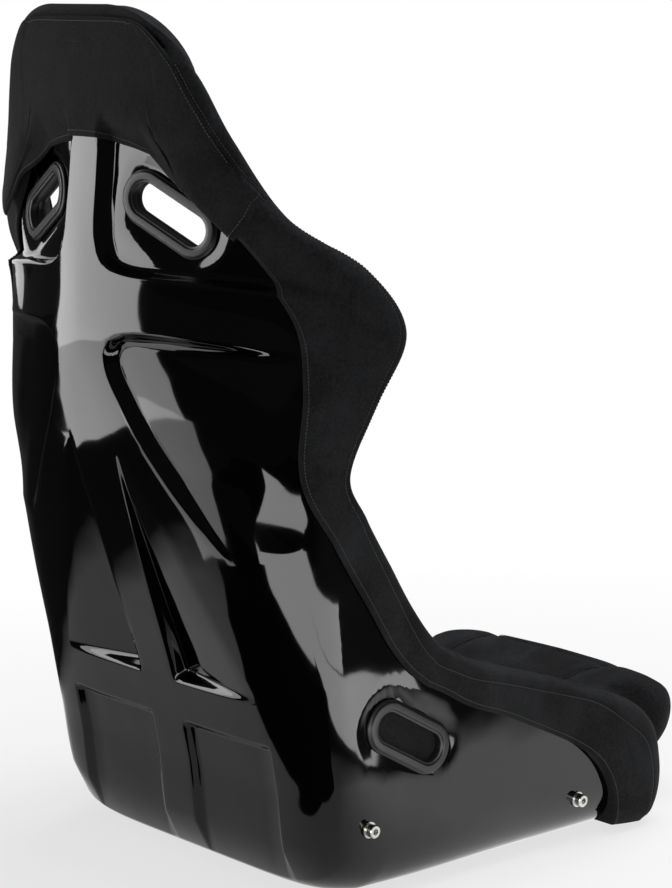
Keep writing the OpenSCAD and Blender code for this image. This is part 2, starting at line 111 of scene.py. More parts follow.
def station(t):
    """Smooth curves through the columns of STATIONS, read at the places t."""
    t = np.clip(np.asarray(t, float), 0, LAST)
    i = np.minimum(t.astype(int), LAST - 1)
    k = catmull_rom([STATIONS[np.clip(i + n, 0, LAST)] for n in (-1, 0, 1, 2)], (t - i)[..., None])
    k[..., 1] = np.maximum(k[..., 1], 0)
    return k


def oval(t, psi):
    """A point of the outer surface. In section t, at the angle psi from the middle (0) to the rim
    (90), r = (|sin|^n + |cos|^n)^(-1/n) draws a squared ellipse and q = 1 - r cos goes from the
    middle to the rim."""
    k, a = station(t), np.radians(np.abs(psi))
    n = k[..., 6]
    r = (np.abs(np.sin(a)) ** n + np.abs(np.cos(a)) ** n) ** (-1 / n)
    q = 1 - r * np.cos(a)
    x = (k[..., 4] * np.minimum(1, FULL_WIDTH * r * np.sin(a))
         + (k[..., 5] - k[..., 4]) * np.clip(q, 0, 1.2) ** 3)
    return np.stack([np.where(psi < 0, -x, x), k[..., 0] + (k[..., 2] - k[..., 0]) * q,
                     k[..., 1] + (k[..., 3] - k[..., 1]) * q], -1)


def unit(v):
    """Vectors scaled to length 1."""
    return v / np.linalg.norm(v, axis=-1, keepdims=True)


def outward(t, psi):
    """The direction out of the shell: the cross product of a step along t and a step along psi."""
    return unit(np.cross(oval(t + 0.04, psi) - oval(t - 0.04, psi),
                         oval(t, psi + 0.8) - oval(t, psi - 0.8)))


heights = np.linspace(6, LAST, 2401)
HEIGHTS = station(heights)[:, 1]


def t_of_z(z):
    """The place t of the section whose middle is at height z, on the way up the back."""
    return np.interp(z, HEIGHTS, heights)


print("sections:", len(STATIONS), "height of the shell:", STATIONS[-1, 1], "mm")

# %% [markdown]
# ## Columns that follow the pressings
# The back has raised ribs between sunk fields. If the lines of the grid run along the ribs, their
# edges come out clean with few points. So a column isn't at a fixed angle: its x is looked up by
# height.


# %% Columns
def rounded_lookup(points, radius=6):
    """A table by height whose corners are rounded: the broken line averaged under a window, mm by
    mm from below the pan to above the head."""
    z = np.arange(-80.0, 940.0)
    p = np.array(points, float)
    window = np.hanning(2 * radius + 3)
    line = np.interp(z, p[:, 0], p[:, 1])
    line = np.convolve(np.pad(line, radius + 1, mode="edge"), window / window.sum(), mode="valid")
    return lambda height: np.interp(height, z, line)


bar_x = rounded_lookup([[160, 25], [205, 26], [447, 32], [480, 19], [530, 14], [640, 8], [740, 8],
                        [800, 24]])
spine_x = rounded_lookup([
    [300, 158], [345, 152], [370, 134], [426, 93], [458, 70], [496, 50], [518, 39], [535, 36],
    [548, 42], [556, 58], [562, 100], [610, 100], [614, 55], [620, 38], [630, 28], [645, 22],
    [735, 21], [800, 66]], 3)
wedge_line = rounded_lookup([[208, 148], [447, 41], [460, 36]], 3)


def column_psi(t, j):
    """Angles of the columns j in the sections t. Columns 0 to 7 have a given x, 7 to 13 share the
    way to the hem, and 13 to 18 the way to the rim."""
    t, j = np.broadcast_arrays(np.asarray(t, float), np.asarray(j, float))
    k = station(t)
    z = k[..., 1]
    a, s = bar_x(z), spine_x(z)
    w = np.where(z < 450, wedge_line(z), (a + 6 + s) / 2)
    lines = np.stack([0 * a, a, a + 6, (a + 6 + w) / 2, w, (w + s) / 2, s, s + 8], -1)
    at = np.clip(np.abs(j), 0, BACK)
    i = np.minimum(at.astype(int), BACK - 1)
    low, high = (np.take_along_axis(lines, (i + n)[..., None], -1)[..., 0] for n in (0, 1))
    u = (low + (high - low) * (at - i)) / k[..., 4]
    edge = lines[..., 7] / k[..., 4]

    def angle(u):
        return np.degrees(np.arctan2(u, (1 - u ** k[..., 6]) ** (1 / k[..., 6])))

    b, c = angle(edge), np.abs(j)
    psi = np.where(c <= BACK, angle(u), np.where(
        c <= HEM, b + (k[..., 7] - b) * (c - BACK) / (HEM - BACK),
        k[..., 7] + (90 - k[..., 7]) * (c - HEM) / (RIM - HEM)))
    return np.where(j < 0, -psi, psi)


def ease(x, a, b):
    """0 before a, 1 after b, and a smooth S between them."""
    u = np.clip((x - a) / (b - a), 0, 1)
    return u * u * (3 - 2 * u)


def along(points, steps=8):
    """A smooth curve through the points, with so many steps between each two."""
    p = np.array(points, float)
    p = np.vstack([2 * p[0] - p[1], p, 2 * p[-1] - p[-2]])
    f = np.linspace(0, 1, steps, endpoint=False)[None, :, None]
    q = catmull_rom([p[n:len(p) - 3 + n][:, None] for n in range(4)], f)
    return np.vstack([q.reshape(-1, p.shape[1]), p[-2]])


UPPER_EDGE = along([[30, 790], [23, 760], [21, 736], [21, 700], [22, 660], [25, 640], [32, 624],
                    [44, 615], [62, 611], [90, 610], [150, 610], [270, 610]])
LOWER_EDGE = along([[270, 562], [150, 562], [90, 561], [62, 558], [46, 550], [38, 538], [37, 524],
                    [41, 510], [50, 494], [70, 458], [93, 426], [134, 370], [152, 345], [170, 310]])
WALL_WIDTH, CROSS = 9, 7  # how wide a field's wall is, and how deep the cross is pressed


def signed_distance(x, z, line):
    """Distance of the points (x, z) from a line, positive on its right-hand side: the cross product
    of the line's direction at its nearest point with the way from there."""
    p = np.stack([np.ravel(x), np.ravel(z)], -1)
    gap = p[:, None] - line[None]
    near = np.argmin((gap**2).sum(-1), 1)
    way = unit(np.gradient(line, axis=0))[near]
    gap = gap[np.arange(len(p)), near]
    return (way[:, 1] * gap[:, 0] - way[:, 0] * gap[:, 1]).reshape(np.shape(x))


def set_in(x, y, z, j):
    """How deep the surface is pressed in: two fields beside the spine, a wedge each side of the
    middle bar in the lower back, and a shallow cross under them. The walls of the fields are
    S-shaped."""
    x, c = np.abs(x), np.abs(j)
    up = ease(-signed_distance(x, z, UPPER_EDGE), 0, WALL_WIDTH) * (PRESS + 2)
    up = up * (1 - ease(z, 736, 766)) * (1 - ease(c, 13.2, 16.6))
    low = ease(signed_distance(x, z, LOWER_EDGE[::-1]), 0, WALL_WIDTH) * PRESS
    low = low * np.clip((z - 345) / 75, 0, 1) * (1 - ease(c, 9, 13))
    wedge = (WEDGE * ease(c, 1, 2) * np.clip((4 - c) / 2, 0, 1)
             * ease(z, 200, 208) * np.clip((447 - z) / 239, 0, 1))
    corner = CROSS * ease(c, 1, 2) * (1 - ease(c, 4, 6)) * ease(z, 20, 50) * (1 - ease(z, 151, 160))
    return np.where(y < 0, 0, up + low + wedge + corner)


def skin(t, j, d, pressed=True):
    """Points of the shell at the sections t and columns j, d mm outside the moulded surface."""
    t, j = np.broadcast_arrays(np.asarray(t, float), np.asarray(j, float))
    psi = column_psi(t, j)
    p, k = oval(t, psi), station(t)
    depth = set_in(p[..., 0], k[..., 0], k[..., 1], j) if pressed else 0
    return p + outward(t, psi) * (d - depth)[..., None]


print("columns:", RIM * 2 + 1)

# %% [markdown]
# ## Putting a grid into a mesh
# Every piece below is a grid of points, rows by columns. Its faces are quads between neighbours,
# worked out as one array. A piece that is closed gets its side found from its volume, so that faces
# look out.


# %% Mesh helpers
def quads(rows, cols, wrap=False, start=0):
    """Corner numbers of the quads of a grid; with wrap the last column joins the first."""
    number = np.arange(rows * cols).reshape(rows, cols) + start
    if wrap:
        number = np.hstack([number, number[:, :1]])
    corners = number[:-1, :-1], number[:-1, 1:], number[1:, 1:], number[1:, :-1]
    return np.stack(corners, -1).reshape(-1, 4)


def volume(points, faces):
    """Signed volume: the sum over the faces' triangles of a . (b x c) / 6."""
    f = np.array([(f[0], f[i], f[i + 1]) for f in faces for i in range(1, len(f) - 1)])
    a, b, c = (points[f[:, i]] for i in range(3))
    return np.einsum("ij,ij->i", a, np.cross(b, c)).sum() / 6


def put_in_scene(name, data):
    """A new object that holds the data, in the scene."""
    made_now = bpy.data.objects.new(name, data)
    bpy.context.scene.collection.objects.link(made_now)
    return made_now


def build(name, points, faces, material=None, closed=True):
    """An object from points in mm and faces, in the frame's metres."""
    points = np.asarray(points, float).reshape(-1, 3)
    faces = [list(map(int, f)) for f in faces]
    if closed and volume(points, faces) < 0:
        faces = [f[::-1] for f in faces]
    mesh = bpy.data.meshes.new(name)
    mesh.from_pydata((points * 0.001).tolist(), [], faces)
    mesh.polygons.foreach_set("use_smooth", [True] * len(faces))
    mesh.update()
    if material:
        mesh.materials.append(material)
    return put_in_scene(name, mesh)


def slab(outer, inner):
    """Points and faces of the closed solid between two grids of the same size."""
    rows, cols = outer.shape[:2]
    n = rows * cols
    number = np.arange(n).reshape(rows, cols)
    faces = [quads(rows, cols), quads(rows, cols, start=n)[:, ::-1]]
    for edge, turn in ((number[0], 1), (number[-1], -1), (number[:, 0], -1), (number[:, -1], 1)):
        side = np.stack([edge[:-1], edge[:-1] + n, edge[1:] + n, edge[1:]], -1)
        faces.append(side[:, ::turn])
    return np.vstack([outer.reshape(-1, 3), inner.reshape(-1, 3)]), np.vstack(faces).tolist()


def tube(rings):
    """Points and faces of closed rings one after another, with a flat face on each end."""
    rows, cols = rings.shape[:2]
    faces = quads(rows, cols, wrap=True).tolist()
    faces += [list(range(cols))[::-1], list(range((rows - 1) * cols, rows * cols))]
    return rings.reshape(-1, 3), faces


print("helpers: build, slab, tube")

# %% [markdown]
# ## Materials
# Four finishes make most of this seat. Gelcoat is the glossy resin skin that a mould leaves on a
# laminate. Suede here is a brushed microfibre: its pile lies in patches, so some look greyer, and
# its raised hairs catch light at a grazing angle, which the shader's sheen gives. The bezels are
# moulded ABS with a fine spark-eroded grain, and the screws are zinc-plated steel. Noise in object
# coordinates keeps every pattern at its real size, because those are metres here: a scale of 1000
# gives cells of 1 mm.


# %% Material helpers
def new_material(name):
    """An empty node material, its Principled shader and the source of its object coordinates."""
    material = bpy.data.materials.new(name)
    material.use_nodes = True
    spot = node(material, "ShaderNodeTexCoord").outputs["Object"]
    return material, material.node_tree.nodes["Principled BSDF"], spot


def put(material, socket, value):
    """Sets a socket to a value, or links it to another socket or to the first output of a node."""
    source = value.outputs[0] if isinstance(value, bpy.types.Node) else value
    if isinstance(source, bpy.types.NodeSocket):
        material.node_tree.links.new(source, socket)
    else:
        socket.default_value = source


def node(material, kind, *inputs, **settings):
    """A new node. Values or sources go to its first sockets in order. Settings go to its properties
    or, by name with _ for a space, to its sockets."""
    n = material.node_tree.nodes.new(kind)
    for key, value in settings.items():
        if hasattr(n, key):
            setattr(n, key, value)
        else:
            put(material, n.inputs[key.replace("_", " ")], value)
    for socket, value in zip(n.inputs, inputs):
        put(material, socket, value)
    return n


def finish(material, shader, **sockets):
    """Puts values or sources into sockets of the shader, by name with _ for a space."""
    for key, value in sockets.items():
        put(material, shader.inputs[key.replace("_", " ")], value)


def colour(text):
    """An sRGB hex colour as linear RGBA: each part c becomes ((c + 0.055) / 1.055) ^ 2.4."""
    parts = [int(text[i:i + 2], 16) / 255 for i in (0, 2, 4)]
    return [c / 12.92 if c <= 0.04045 else ((c + 0.055) / 1.055) ** 2.4 for c in parts] + [1]


def shades(ramp, first, last, start=0, end=1):
    """Gives a colour ramp its two ends."""
    for stop, shade, at in zip(ramp.color_ramp.elements, (first, last), (start, end)):
        stop.position, stop.color = at, colour(shade)


# %% Gelcoat
# Polished gelcoat: black all through, IOR 1.5, and so smooth that it mirrors. A laminate's skin
# sinks a little over its fibres, so wide, shallow waves bend the edges of what it reflects.
gelcoat, shader, spot = new_material("black_gelcoat")
waves = node(gelcoat, "ShaderNodeTexNoise", spot, Scale=17.0, Detail=1.0)
haze = node(gelcoat, "ShaderNodeTexNoise", spot, Scale=45.0, Detail=3.0)
rough = node(gelcoat, "ShaderNodeMapRange", haze, To_Min=0.035, To_Max=0.075)
bend = node(gelcoat, "ShaderNodeBump", Height=waves, Strength=1.0, Distance=0.0007)
finish(gelcoat, shader, Base_Color=colour("060607"), Roughness=rough, IOR=1.5, Normal=bend)

# %% Suede
# Black microfibre suede. The pile is brushed this way and that in patches of 30 to 80 mm. The nap
# is mottled at 2 to 4 mm, coarser than real so that it shows, and single tufts are about 0.6 mm.
suede, shader, spot = new_material("black_microfibre_suede")
patches = node(suede, "ShaderNodeTexNoise", spot, Scale=16.0, Detail=2.0, Distortion=0.8)
nap = node(suede, "ShaderNodeTexNoise", spot, Scale=330.0, Detail=3.0, Roughness=0.65)
tufts = node(suede, "ShaderNodeTexNoise", spot, Scale=1500.0, Detail=1.0)
both = node(suede, "ShaderNodeMath", patches, nap, operation="ADD")
ramp = node(suede, "ShaderNodeValToRGB",
            node(suede, "ShaderNodeMath", both, 0.5, operation="MULTIPLY"))
shades(ramp, "161617", "2b2c2e", 0.38, 0.64)
raised = node(suede, "ShaderNodeMath", tufts, nap, operation="ADD")
pile = node(suede, "ShaderNodeBump", Height=raised, Strength=0.7, Distance=0.0005)
finish(suede, shader, Base_Color=ramp, Roughness=0.95, Specular_IOR_Level=0.15, Sheen_Weight=0.22,
       Sheen_Roughness=0.45, Sheen_Tint=colour("8c8d90"), Normal=pile)

# %% Thread, plastic, steel and hook tape
# Bonded polyester thread, twisted: a shade lighter than the suede, with a faint silky shine.
thread, shader, spot = new_material("black_polyester_thread")
twist = node(thread, "ShaderNodeTexNoise", spot, Scale=900.0, Detail=1.0)
ramp = node(thread, "ShaderNodeValToRGB", twist)
shades(ramp, "1d1d1f", "3a3b3e")
finish(thread, shader, Base_Color=ramp, Roughness=0.5, Sheen_Weight=0.2)

# ABS, injection moulded in a spark-eroded tool: satin, with a grain of about 0.3 mm.
plastic, shader, spot = new_material("black_moulded_abs")
grain = node(plastic, "ShaderNodeTexNoise", spot, Scale=2600.0, Detail=2.0)
rub = node(plastic, "ShaderNodeTexNoise", spot, Scale=90.0, Detail=4.0)
rough = node(plastic, "ShaderNodeMapRange", rub, To_Min=0.34, To_Max=0.5)
bend = node(plastic, "ShaderNodeBump", Height=grain, Strength=0.35, Distance=0.0001)
finish(plastic, shader, Base_Color=colour("1c1c1e"), Roughness=rough, Normal=bend)

# Steel screws with bright zinc: a pale, slightly cloudy metal, brighter on its turned faces.
steel, shader, spot = new_material("zinc_plated_steel")
cloud = node(steel, "ShaderNodeTexNoise", spot, Scale=420.0, Detail=4.0)
ramp = node(steel, "ShaderNodeValToRGB", cloud)
shades(ramp, "b9b7b1", "dddcd8")
rough = node(steel, "ShaderNodeMapRange", cloud, To_Min=0.16, To_Max=0.34)
finish(steel, shader, Base_Color=ramp, Metallic=1.0, Roughness=rough)

# Hook tape: woven nylon with rows of stiff hooks, about 1.5 mm apart.
hooks, shader, spot = new_material("nylon_hook_tape")
cells = node(hooks, "ShaderNodeTexVoronoi", spot, Scale=640.0)
ramp = node(hooks, "ShaderNodeValToRGB", cells)
shades(ramp, "2e2e30", "101011")
bend = node(hooks, "ShaderNodeBump", Height=cells, Strength=0.8, Distance=0.0006)
finish(hooks, shader, Base_Color=ramp, Roughness=0.6, Normal=bend)

for name, material in (("mount_screws", steel), ("mount_washers", steel), ("mount_inserts", steel),
                       ("grip_strips", hooks)):
    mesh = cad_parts[name].data
    mesh.materials.clear()
    mesh.materials.append(material)
print("materials:", [m.name for m in (gelcoat, suede, thread, plastic, steel, hooks)])

# %% [markdown]
# ## Where the belt slots are
# Belts pass through two slots at the shoulders, one in each flank and one in the pan. Each has its
# own small frame of reference: X along the slot, Z out of the shell.


# %% Slot places
def turn(axis, degrees):
    """4 x 4 turn about an axis."""
    return np.array(Matrix.Rotation(math.radians(degrees), 4, axis))


def move(x, y, z):
    """4 x 4 move."""
    return np.array(Matrix.Translation((x, y, z)))


SLOT_LEN, SLOT_H, FLANGE = 90.0, 29.0, 12.5  # a slot's outline, and the width of its bezel's flange
# Levels in a slot's frame: the landing outside, the inner bezels' seats, and the cushion's top.
SEAT_OUT, SHOULDER_IN, LAP_IN, CUSHION_TOP = -5.0, -14.0, -43.0, 90.0
SLOT_WALL = 3  # how far outside the slot's outline the laminate ends
AT_SHOULDER = move(99, 338, 668) @ turn("Z", -16) @ turn("X", 3) @ turn("X", -90) @ turn("Z", 26.4)
AT_LAP = move(228, 149, 162) @ turn("Y", 90) @ turn("Z", -60)
AT_CROTCH = move(0, -60, 0)


def place(matrix, p):
    """Points moved by a 4 x 4 matrix."""
    return p @ matrix[:3, :3].T + matrix[:3, 3]


def slot_distance(matrix, p):
    """Distance of points from the slot's outline in its own plane (less than 0 inside), the
    direction in which it grows, and the points in the slot's frame."""
    q = place(np.linalg.inv(matrix), p)
    half = (SLOT_LEN - SLOT_H) / 2
    d = q[..., :2] - np.stack([np.clip(q[..., 0], -half, half), 0 * q[..., 1]], -1)
    length = np.linalg.norm(d, axis=-1)
    return length - SLOT_H / 2, d / np.maximum(length, 1e-6)[..., None], q


# %% [markdown]
# ## The shell
# Glass fibre laid up in a mould: 5 mm thick, mirror gloss outside. The grid is finest where a wall
# of a pressing is, and the slots' landings are flattened into it. The faces inside each slot are
# left out, the points round the hole are moved onto its outline, and a Solidify modifier gives the
# laminate's thickness.

# %% Shell grid
def spread(*parts):
    """Values in a row: (start, end, steps) for each part."""
    return np.unique(np.round(np.concatenate([np.linspace(a, b, n + 1) for a, b, n in parts]), 5))


shell_t = np.concatenate([
    spread((0, 1, 8), (1, 2, 10), (2, 6.8, 48)),
    t_of_z(spread((50, 148, 14), (148, 163, 9), (163, 197, 5), (197, 211, 9), (211, 345, 18),
                  (345, 556, 30), (556, 574, 11), (574, 598, 4), (598, 616, 11), (616, 644, 8),
                  (644, 730, 14), (730, 846, 14)))])
shell_t = np.unique(np.append(shell_t, LAST))
side_j = spread((0, 0.9, 4), (0.9, 2.1, 6), (2.1, 4, 6), (4, 6, 6), (6, 7.2, 8), (7.2, 13, 20),
                (13, 18, 16))
shell_j = np.concatenate([-side_j[:0:-1], side_j])
T, J = np.meshgrid(shell_t, shell_j, indexing="ij")
shell_points = skin(T, J, 0)
for matrix, reach in ((AT_SHOULDER, 15), (AT_LAP, 12)):
    for sign in (1, -1):
        flip = np.array([sign, 1, 1])
        d, _, q = slot_distance(matrix, shell_points * flip)
        near = (np.abs(q[..., 2]) < 60) * (1 - ease(d, FLANGE + 1.5, FLANGE + 1.5 + reach))
        q[..., 2] += (SEAT_OUT - 0.15 - q[..., 2]) * near
        shell_points = np.where(near[..., None] > 0, place(matrix, q) * flip, shell_points)
shell_faces = quads(len(shell_t), len(shell_j))
flat = shell_points.reshape(-1, 3)
for matrix, signs in ((AT_SHOULDER, (1, -1)), (AT_LAP, (1, -1)), (AT_CROTCH, (1,))):
    for sign in signs:
        flip = np.array([sign, 1, 1])
        centre = flat[shell_faces].mean(1) * flip
        d, _, q = slot_distance(matrix, centre)
        inside = (d < SLOT_WALL) & (np.abs(q[:, 2]) < 40)
        ring = np.intersect1d(shell_faces[inside], shell_faces[~inside])
        d, way, q = slot_distance(matrix, flat[ring] * flip)
        q[:, :2] += way * (SLOT_WALL - d)[:, None]
        flat[ring] = place(matrix, q) * flip
        shell_faces = shell_faces[~inside]
used = np.unique(shell_faces)
renumber = np.zeros(len(flat), int)
renumber[used] = np.arange(len(used))
shell = build("shell_laminate", flat[used], renumber[shell_faces][:, ::-1], gelcoat, closed=False)
thick = shell.modifiers.new("laminate", "SOLIDIFY")
thick.thickness = WALL * 0.001
thick.offset = -1
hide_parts("shell")
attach(shell, "root")
print("shell:", len(used), "points,", len(shell_faces), "faces")

# %% Bezels
BEZEL_PROFILE = np.array([
    [0, -1], [0, 2.6], [0.3, 3.2], [0.9, 3.4], [2.1, 3.45], [2.5, 3.7], [2.7, 4.5], [3.2, 4.95],
    [4, 5.0], [8.6, 5.0], [9.4, 4.85], [9.9, 4.4], [10.2, 3.6], [10.6, 3.1], [11.6, 2.75],
    [12.2, 2.3], [12.5, 1.5], [12.5, 0.1], [12.2, 0], [3, 0], [2.5, -0.2], [2.5, -1]])


def stadium(offset, steps=28):
    """Points round a slot's outline, offset mm outside it: two half circles joined by straight
    sides."""
    a = np.radians(np.linspace(-90, 90, steps + 1))
    half, r = (SLOT_LEN - SLOT_H) / 2, SLOT_H / 2 + offset
    x = np.concatenate([half + r * np.cos(a), -half - r * np.cos(a)])
    y = np.concatenate([r * np.sin(a), -r * np.sin(a)])
    return np.stack([x, y], -1)


def bezel(name, node, matrix, lift, depth, flipped=False, side=1):
    """The bezel's profile carried round the stadium, then put in its place."""
    profile = BEZEL_PROFILE.copy()
    profile[[0, -1], 1] = -depth
    rings = np.stack([np.hstack([stadium(o), np.full((58, 1), z)]) for o, z in profile], 1)
    rows, cols = rings.shape[:2]
    number = quads(rows, cols, wrap=True).tolist()
    number += [[(rows - 1) * cols + i, (rows - 1) * cols + (i + 1) % cols, (i + 1) % cols, i]
               for i in range(cols)]
    m = matrix @ move(0, 0, lift) @ (turn("X", 180) if flipped else np.eye(4))
    p = place(m, rings.reshape(-1, 3)) * np.array([side, 1, 1])
    piece = build(name, p, number, plastic)
    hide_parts(node)
    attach(piece, "root")


for side, word in ((1, "left"), (-1, "right")):
    bezel(f"shoulder_bezel_outer_{word}", f"shoulder_bezel_rear_{word}", AT_SHOULDER, SEAT_OUT, 4,
          side=side)
    bezel(f"shoulder_bezel_inner_{word}", f"shoulder_bezel_front_{word}", AT_SHOULDER, SHOULDER_IN,
          4, True, side)
    bezel(f"lap_bezel_face_{word}", f"lap_bezel_outer_{word}", AT_LAP, SEAT_OUT, 24, side=side)
    bezel(f"lap_bezel_back_{word}", f"lap_bezel_inner_{word}", AT_LAP, LAP_IN, 22, True, side)
bezel("crotch_bezel_lower", "crotch_bezel_pan", AT_CROTCH, WALL + 0.2, 4.5)
bezel("crotch_bezel_upper", "crotch_bezel_cushion", AT_CROTCH, CUSHION_TOP, 30)

# %% [markdown]
# ## The bolster covers
# The side of the cover is one long sewn sleeve. It starts at a hem glued to the outside of the
# shell, runs out over the rim, rolls over the foam's crest and goes down the inner face to the
# middle pads. So it is made as rings carried along the seat's edge: every ring has the same 60
# points, and a smooth curve through the rings closes it over the front end, where a fan of rings
# turns round the thigh's nose.


# %% Bolster rings
GAP, OUT_D = 0.8, 3.8  # air between cover and shell, and the cover's outside
IN_D = -WALL - GAP
FOAM_BACK = -WALL - PRESS - 4
BOLSTER_FOAM = 28
OUTER_POINTS, CREST_POINTS = 19, 13
# By height: the column where the bolsters end, and how far their crest rises over the rim.
SPLIT_Z = np.array([[447, 9], [535, 9], [562, 11], [602, 12.4], [705, 12.4], [720, 11.8],
                    [760, 9.6], [788, 9]])
RISE_Z = np.array([[200, 10], [300, 6], [380, 5], [430, 2], [480, 2], [520, 3], [570, 9],
                   [700, 11], [780, 8]])


def split(t):
    """Column where the bolsters meet the middle pads."""
    return np.where(np.asarray(t) < 6, 9.0, lookup(height(t), SPLIT_Z))


def lookup(at, table):
    """The second column of a table, read at values of its first column."""
    return np.interp(at, table[:, 0], table[:, 1])


def height(t):
    """The height of the middle of the sections t."""
    return station(t)[..., 1]


def forward(t):
    """The way from the middle of section t to its rim."""
    k = station(t)
    return unit(np.stack([0 * k[..., 0], k[..., 2] - k[..., 0], k[..., 3] - k[..., 1]], -1))


def mix(a, b, f):
    """The point a share f of the way from a to b."""
    return a * (1 - f) + b * f


def cover_rings(t, thick):
    """Rings of a bolster and its cover in the sections t: up from the hem outside the shell, over a
    crest that rises as sin(a)^0.8, down the inner face, and back round the shell's rim."""
    n = len(t)
    t, thick = (np.broadcast_to(np.asarray(v, float), (n,))[:, None] for v in (t, thick))
    j = np.concatenate([[13, 13], spread((13.02, 18, 16))])[None]
    d = np.concatenate([[GAP, GAP + 1.6, GAP + 2.6], np.full(16, OUT_D)])[None]
    outer = skin(t, j, np.broadcast_to(d, (n, d.shape[1])))
    p, f = outer[:, -1:], forward(t)
    q = p - np.stack([thick + 8, 0 * thick, 0 * thick], -1)
    rise = np.where(t < 6, 12, lookup(height(t), RISE_Z))
    a = np.radians(np.linspace(0, 180, CREST_POINTS + 2)[1:-1])[None, :, None]
    crest = mix(p, q, (1 - np.cos(a)) / 2) + f * rise[..., None] * np.sin(a) ** 0.8
    s = split(t)
    base = skin(t, s, -WALL - np.interp(s, [9, 12.4], [PRESS + BOLSTER_FOAM, BOLSTER_FOAM]),
                pressed=False)
    inner = mix(q, base, np.linspace(0, 1, 9)[None, :, None])
    rim_in, rim_out = (skin(t, RIM, d) + f * GAP for d in (IN_D, GAP))
    inside = skin(t, s + (17.6 - s) * np.linspace(0, 1, 9)[None], np.full((n, 9), IN_D))
    down = skin(t, np.linspace(18, 13.3, 8)[None], np.full((n, 8), GAP))
    return np.concatenate([outer, crest, inner, inside, rim_in, rim_out, down], 1)


NOSE = [
    # hem y, z, crest y, z, rounding, outer x, inner x
    [-107, 92, -173, 140, 27, 231.5, 178],
    [-123, 75, -211, 109, 31, 231.5, 175],
    [-134, 56, -224, 68, 33, 231, 173],
    [-139, 39, -224, 36, 33, 230, 172],
    [-141, 22, -212, 14, 22, 228, 174],
    [-143, 10, -194, 5, 9, 223, 178]]
NOSE_T = 3.3  # the section at which the fan goes over into the side


def nose_ring(hem_y, hem_z, crest_y, crest_z, rounding, x_out, x_in):
    """One ring of the fan round the thigh's nose: out from the hem along the shell, over a crest
    that rises as sin(a)^0.8, and back along the inner face."""
    hem, crest = np.array([0, hem_y, hem_z], float), np.array([0, crest_y, crest_z], float)
    length = np.linalg.norm(crest - hem)
    way = (crest - hem) / length
    s = (length - rounding) * np.concatenate([[0, 0], np.linspace(0, 1, OUTER_POINTS - 2)])
    tucked = np.concatenate([[3, 1.4, 0.4], np.zeros(OUTER_POINTS - 3)])
    x = x_out - tucked + 1.5 * np.sin(np.pi * s / length)
    a = np.radians(np.linspace(0, 180, CREST_POINTS + 2)[1:-1])
    over = length - rounding + rounding * np.sin(a) ** 0.8
    s = np.concatenate([s, over, np.linspace(length - rounding, 0, 9), np.zeros(19)])
    x = np.concatenate([x, mix(x_out, x_in, (1 - np.cos(a)) / 2), np.full(9, x_in),
                        np.linspace(x_in, x_out - 3, 20)[:-1]])
    return hem + way * s[:, None] + np.stack([x, 0 * x, 0 * x], -1)


def through(rings, steps):
    """Rings between the given ones, each point moved along a smooth curve."""
    return np.moveaxis(np.stack([along(rings[:, i], steps) for i in range(rings.shape[1])]), 0, 1)


# %% Bolster covers
body_t = np.concatenate([spread((NOSE_T, 6.8, 45)), t_of_z(spread((50, 718, 150)))])
thick_now = np.where(body_t < 6, 42, np.interp(height(body_t), [520, 560], [42, 38]))
body_rings = cover_rings(body_t, thick_now)
nose = [nose_ring(*row) for row in NOSE[::-1]] + [cover_rings([NOSE_T], 42)[0], body_rings[4]]
nose_rings = through(np.stack(nose), 7)[:-7]
side_rings = np.concatenate([nose_rings[:-1], body_rings])
for side, word in ((1, "left"), (-1, "right")):
    piece = build(f"bolster_cover_{word}", *tube(side_rings * np.array([side, 1, 1])), suede)
    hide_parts(*(f"{n}_{word}"
                         for n in ("thigh_nose", "thigh_bolster", "side_bolster", "wing")))
    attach(piece, "root")

# %% Band round the head
# The same rings go on up the sides of the head. At each top corner they turn along a Bezier curve,
# and then they run across the top, where the shell stands further back than at its sides. The part
# of a ring that lies on the back of the head is flattened there, with a rounded edge.
head_t = t_of_z(spread((718, 817, 32)))
head_rings = cover_rings(head_t, np.linspace(40, 38, len(head_t)))
last = head_rings[-1]
rim = last[OUTER_POINTS - 1]
bend = np.array([rim[[0, 2]], rim[[0, 2]] + [-15, 28], [87, 857], [40, 857]])  # x and z, mm
w = np.linspace(0, 1, 22)[1:, None]
path = ((1 - w) ** 3 * bend[0] + 3 * (1 - w) ** 2 * w * bend[1]
        + 3 * (1 - w) * w ** 2 * bend[2] + w ** 3 * bend[3])
b = np.radians(90 * w)
gap = last - rim * [1, 0, 1]
corner = np.stack([path[:, :1] + gap[:, 0] * np.cos(b) - gap[:, 2] * np.sin(b), gap[:, 1] + 0 * b,
                   path[:, 1:] + gap[:, 0] * np.sin(b) + gap[:, 2] * np.cos(b)], -1)
back_share = np.concatenate([np.ones(OUTER_POINTS + CREST_POINTS), np.linspace(1, 0, 9),
                             np.linspace(0, 1, 9), np.ones(10)])
# Round the corner the ring moves back 10 mm, and 3 mm more on the way to the middle of the top.
corner[..., 1] += 10 * np.sin(b) ** 2 * back_share
run = np.linspace(0, 1, 7)[1:, None]
across = np.repeat(corner[-1:], 6, 0)
across[..., 0] *= 1 - run
across[..., 1] += 3 * (1 - (1 - run) ** 2) * back_share
turned = np.concatenate([corner, across])
outer = turned[:, :OUTER_POINTS]
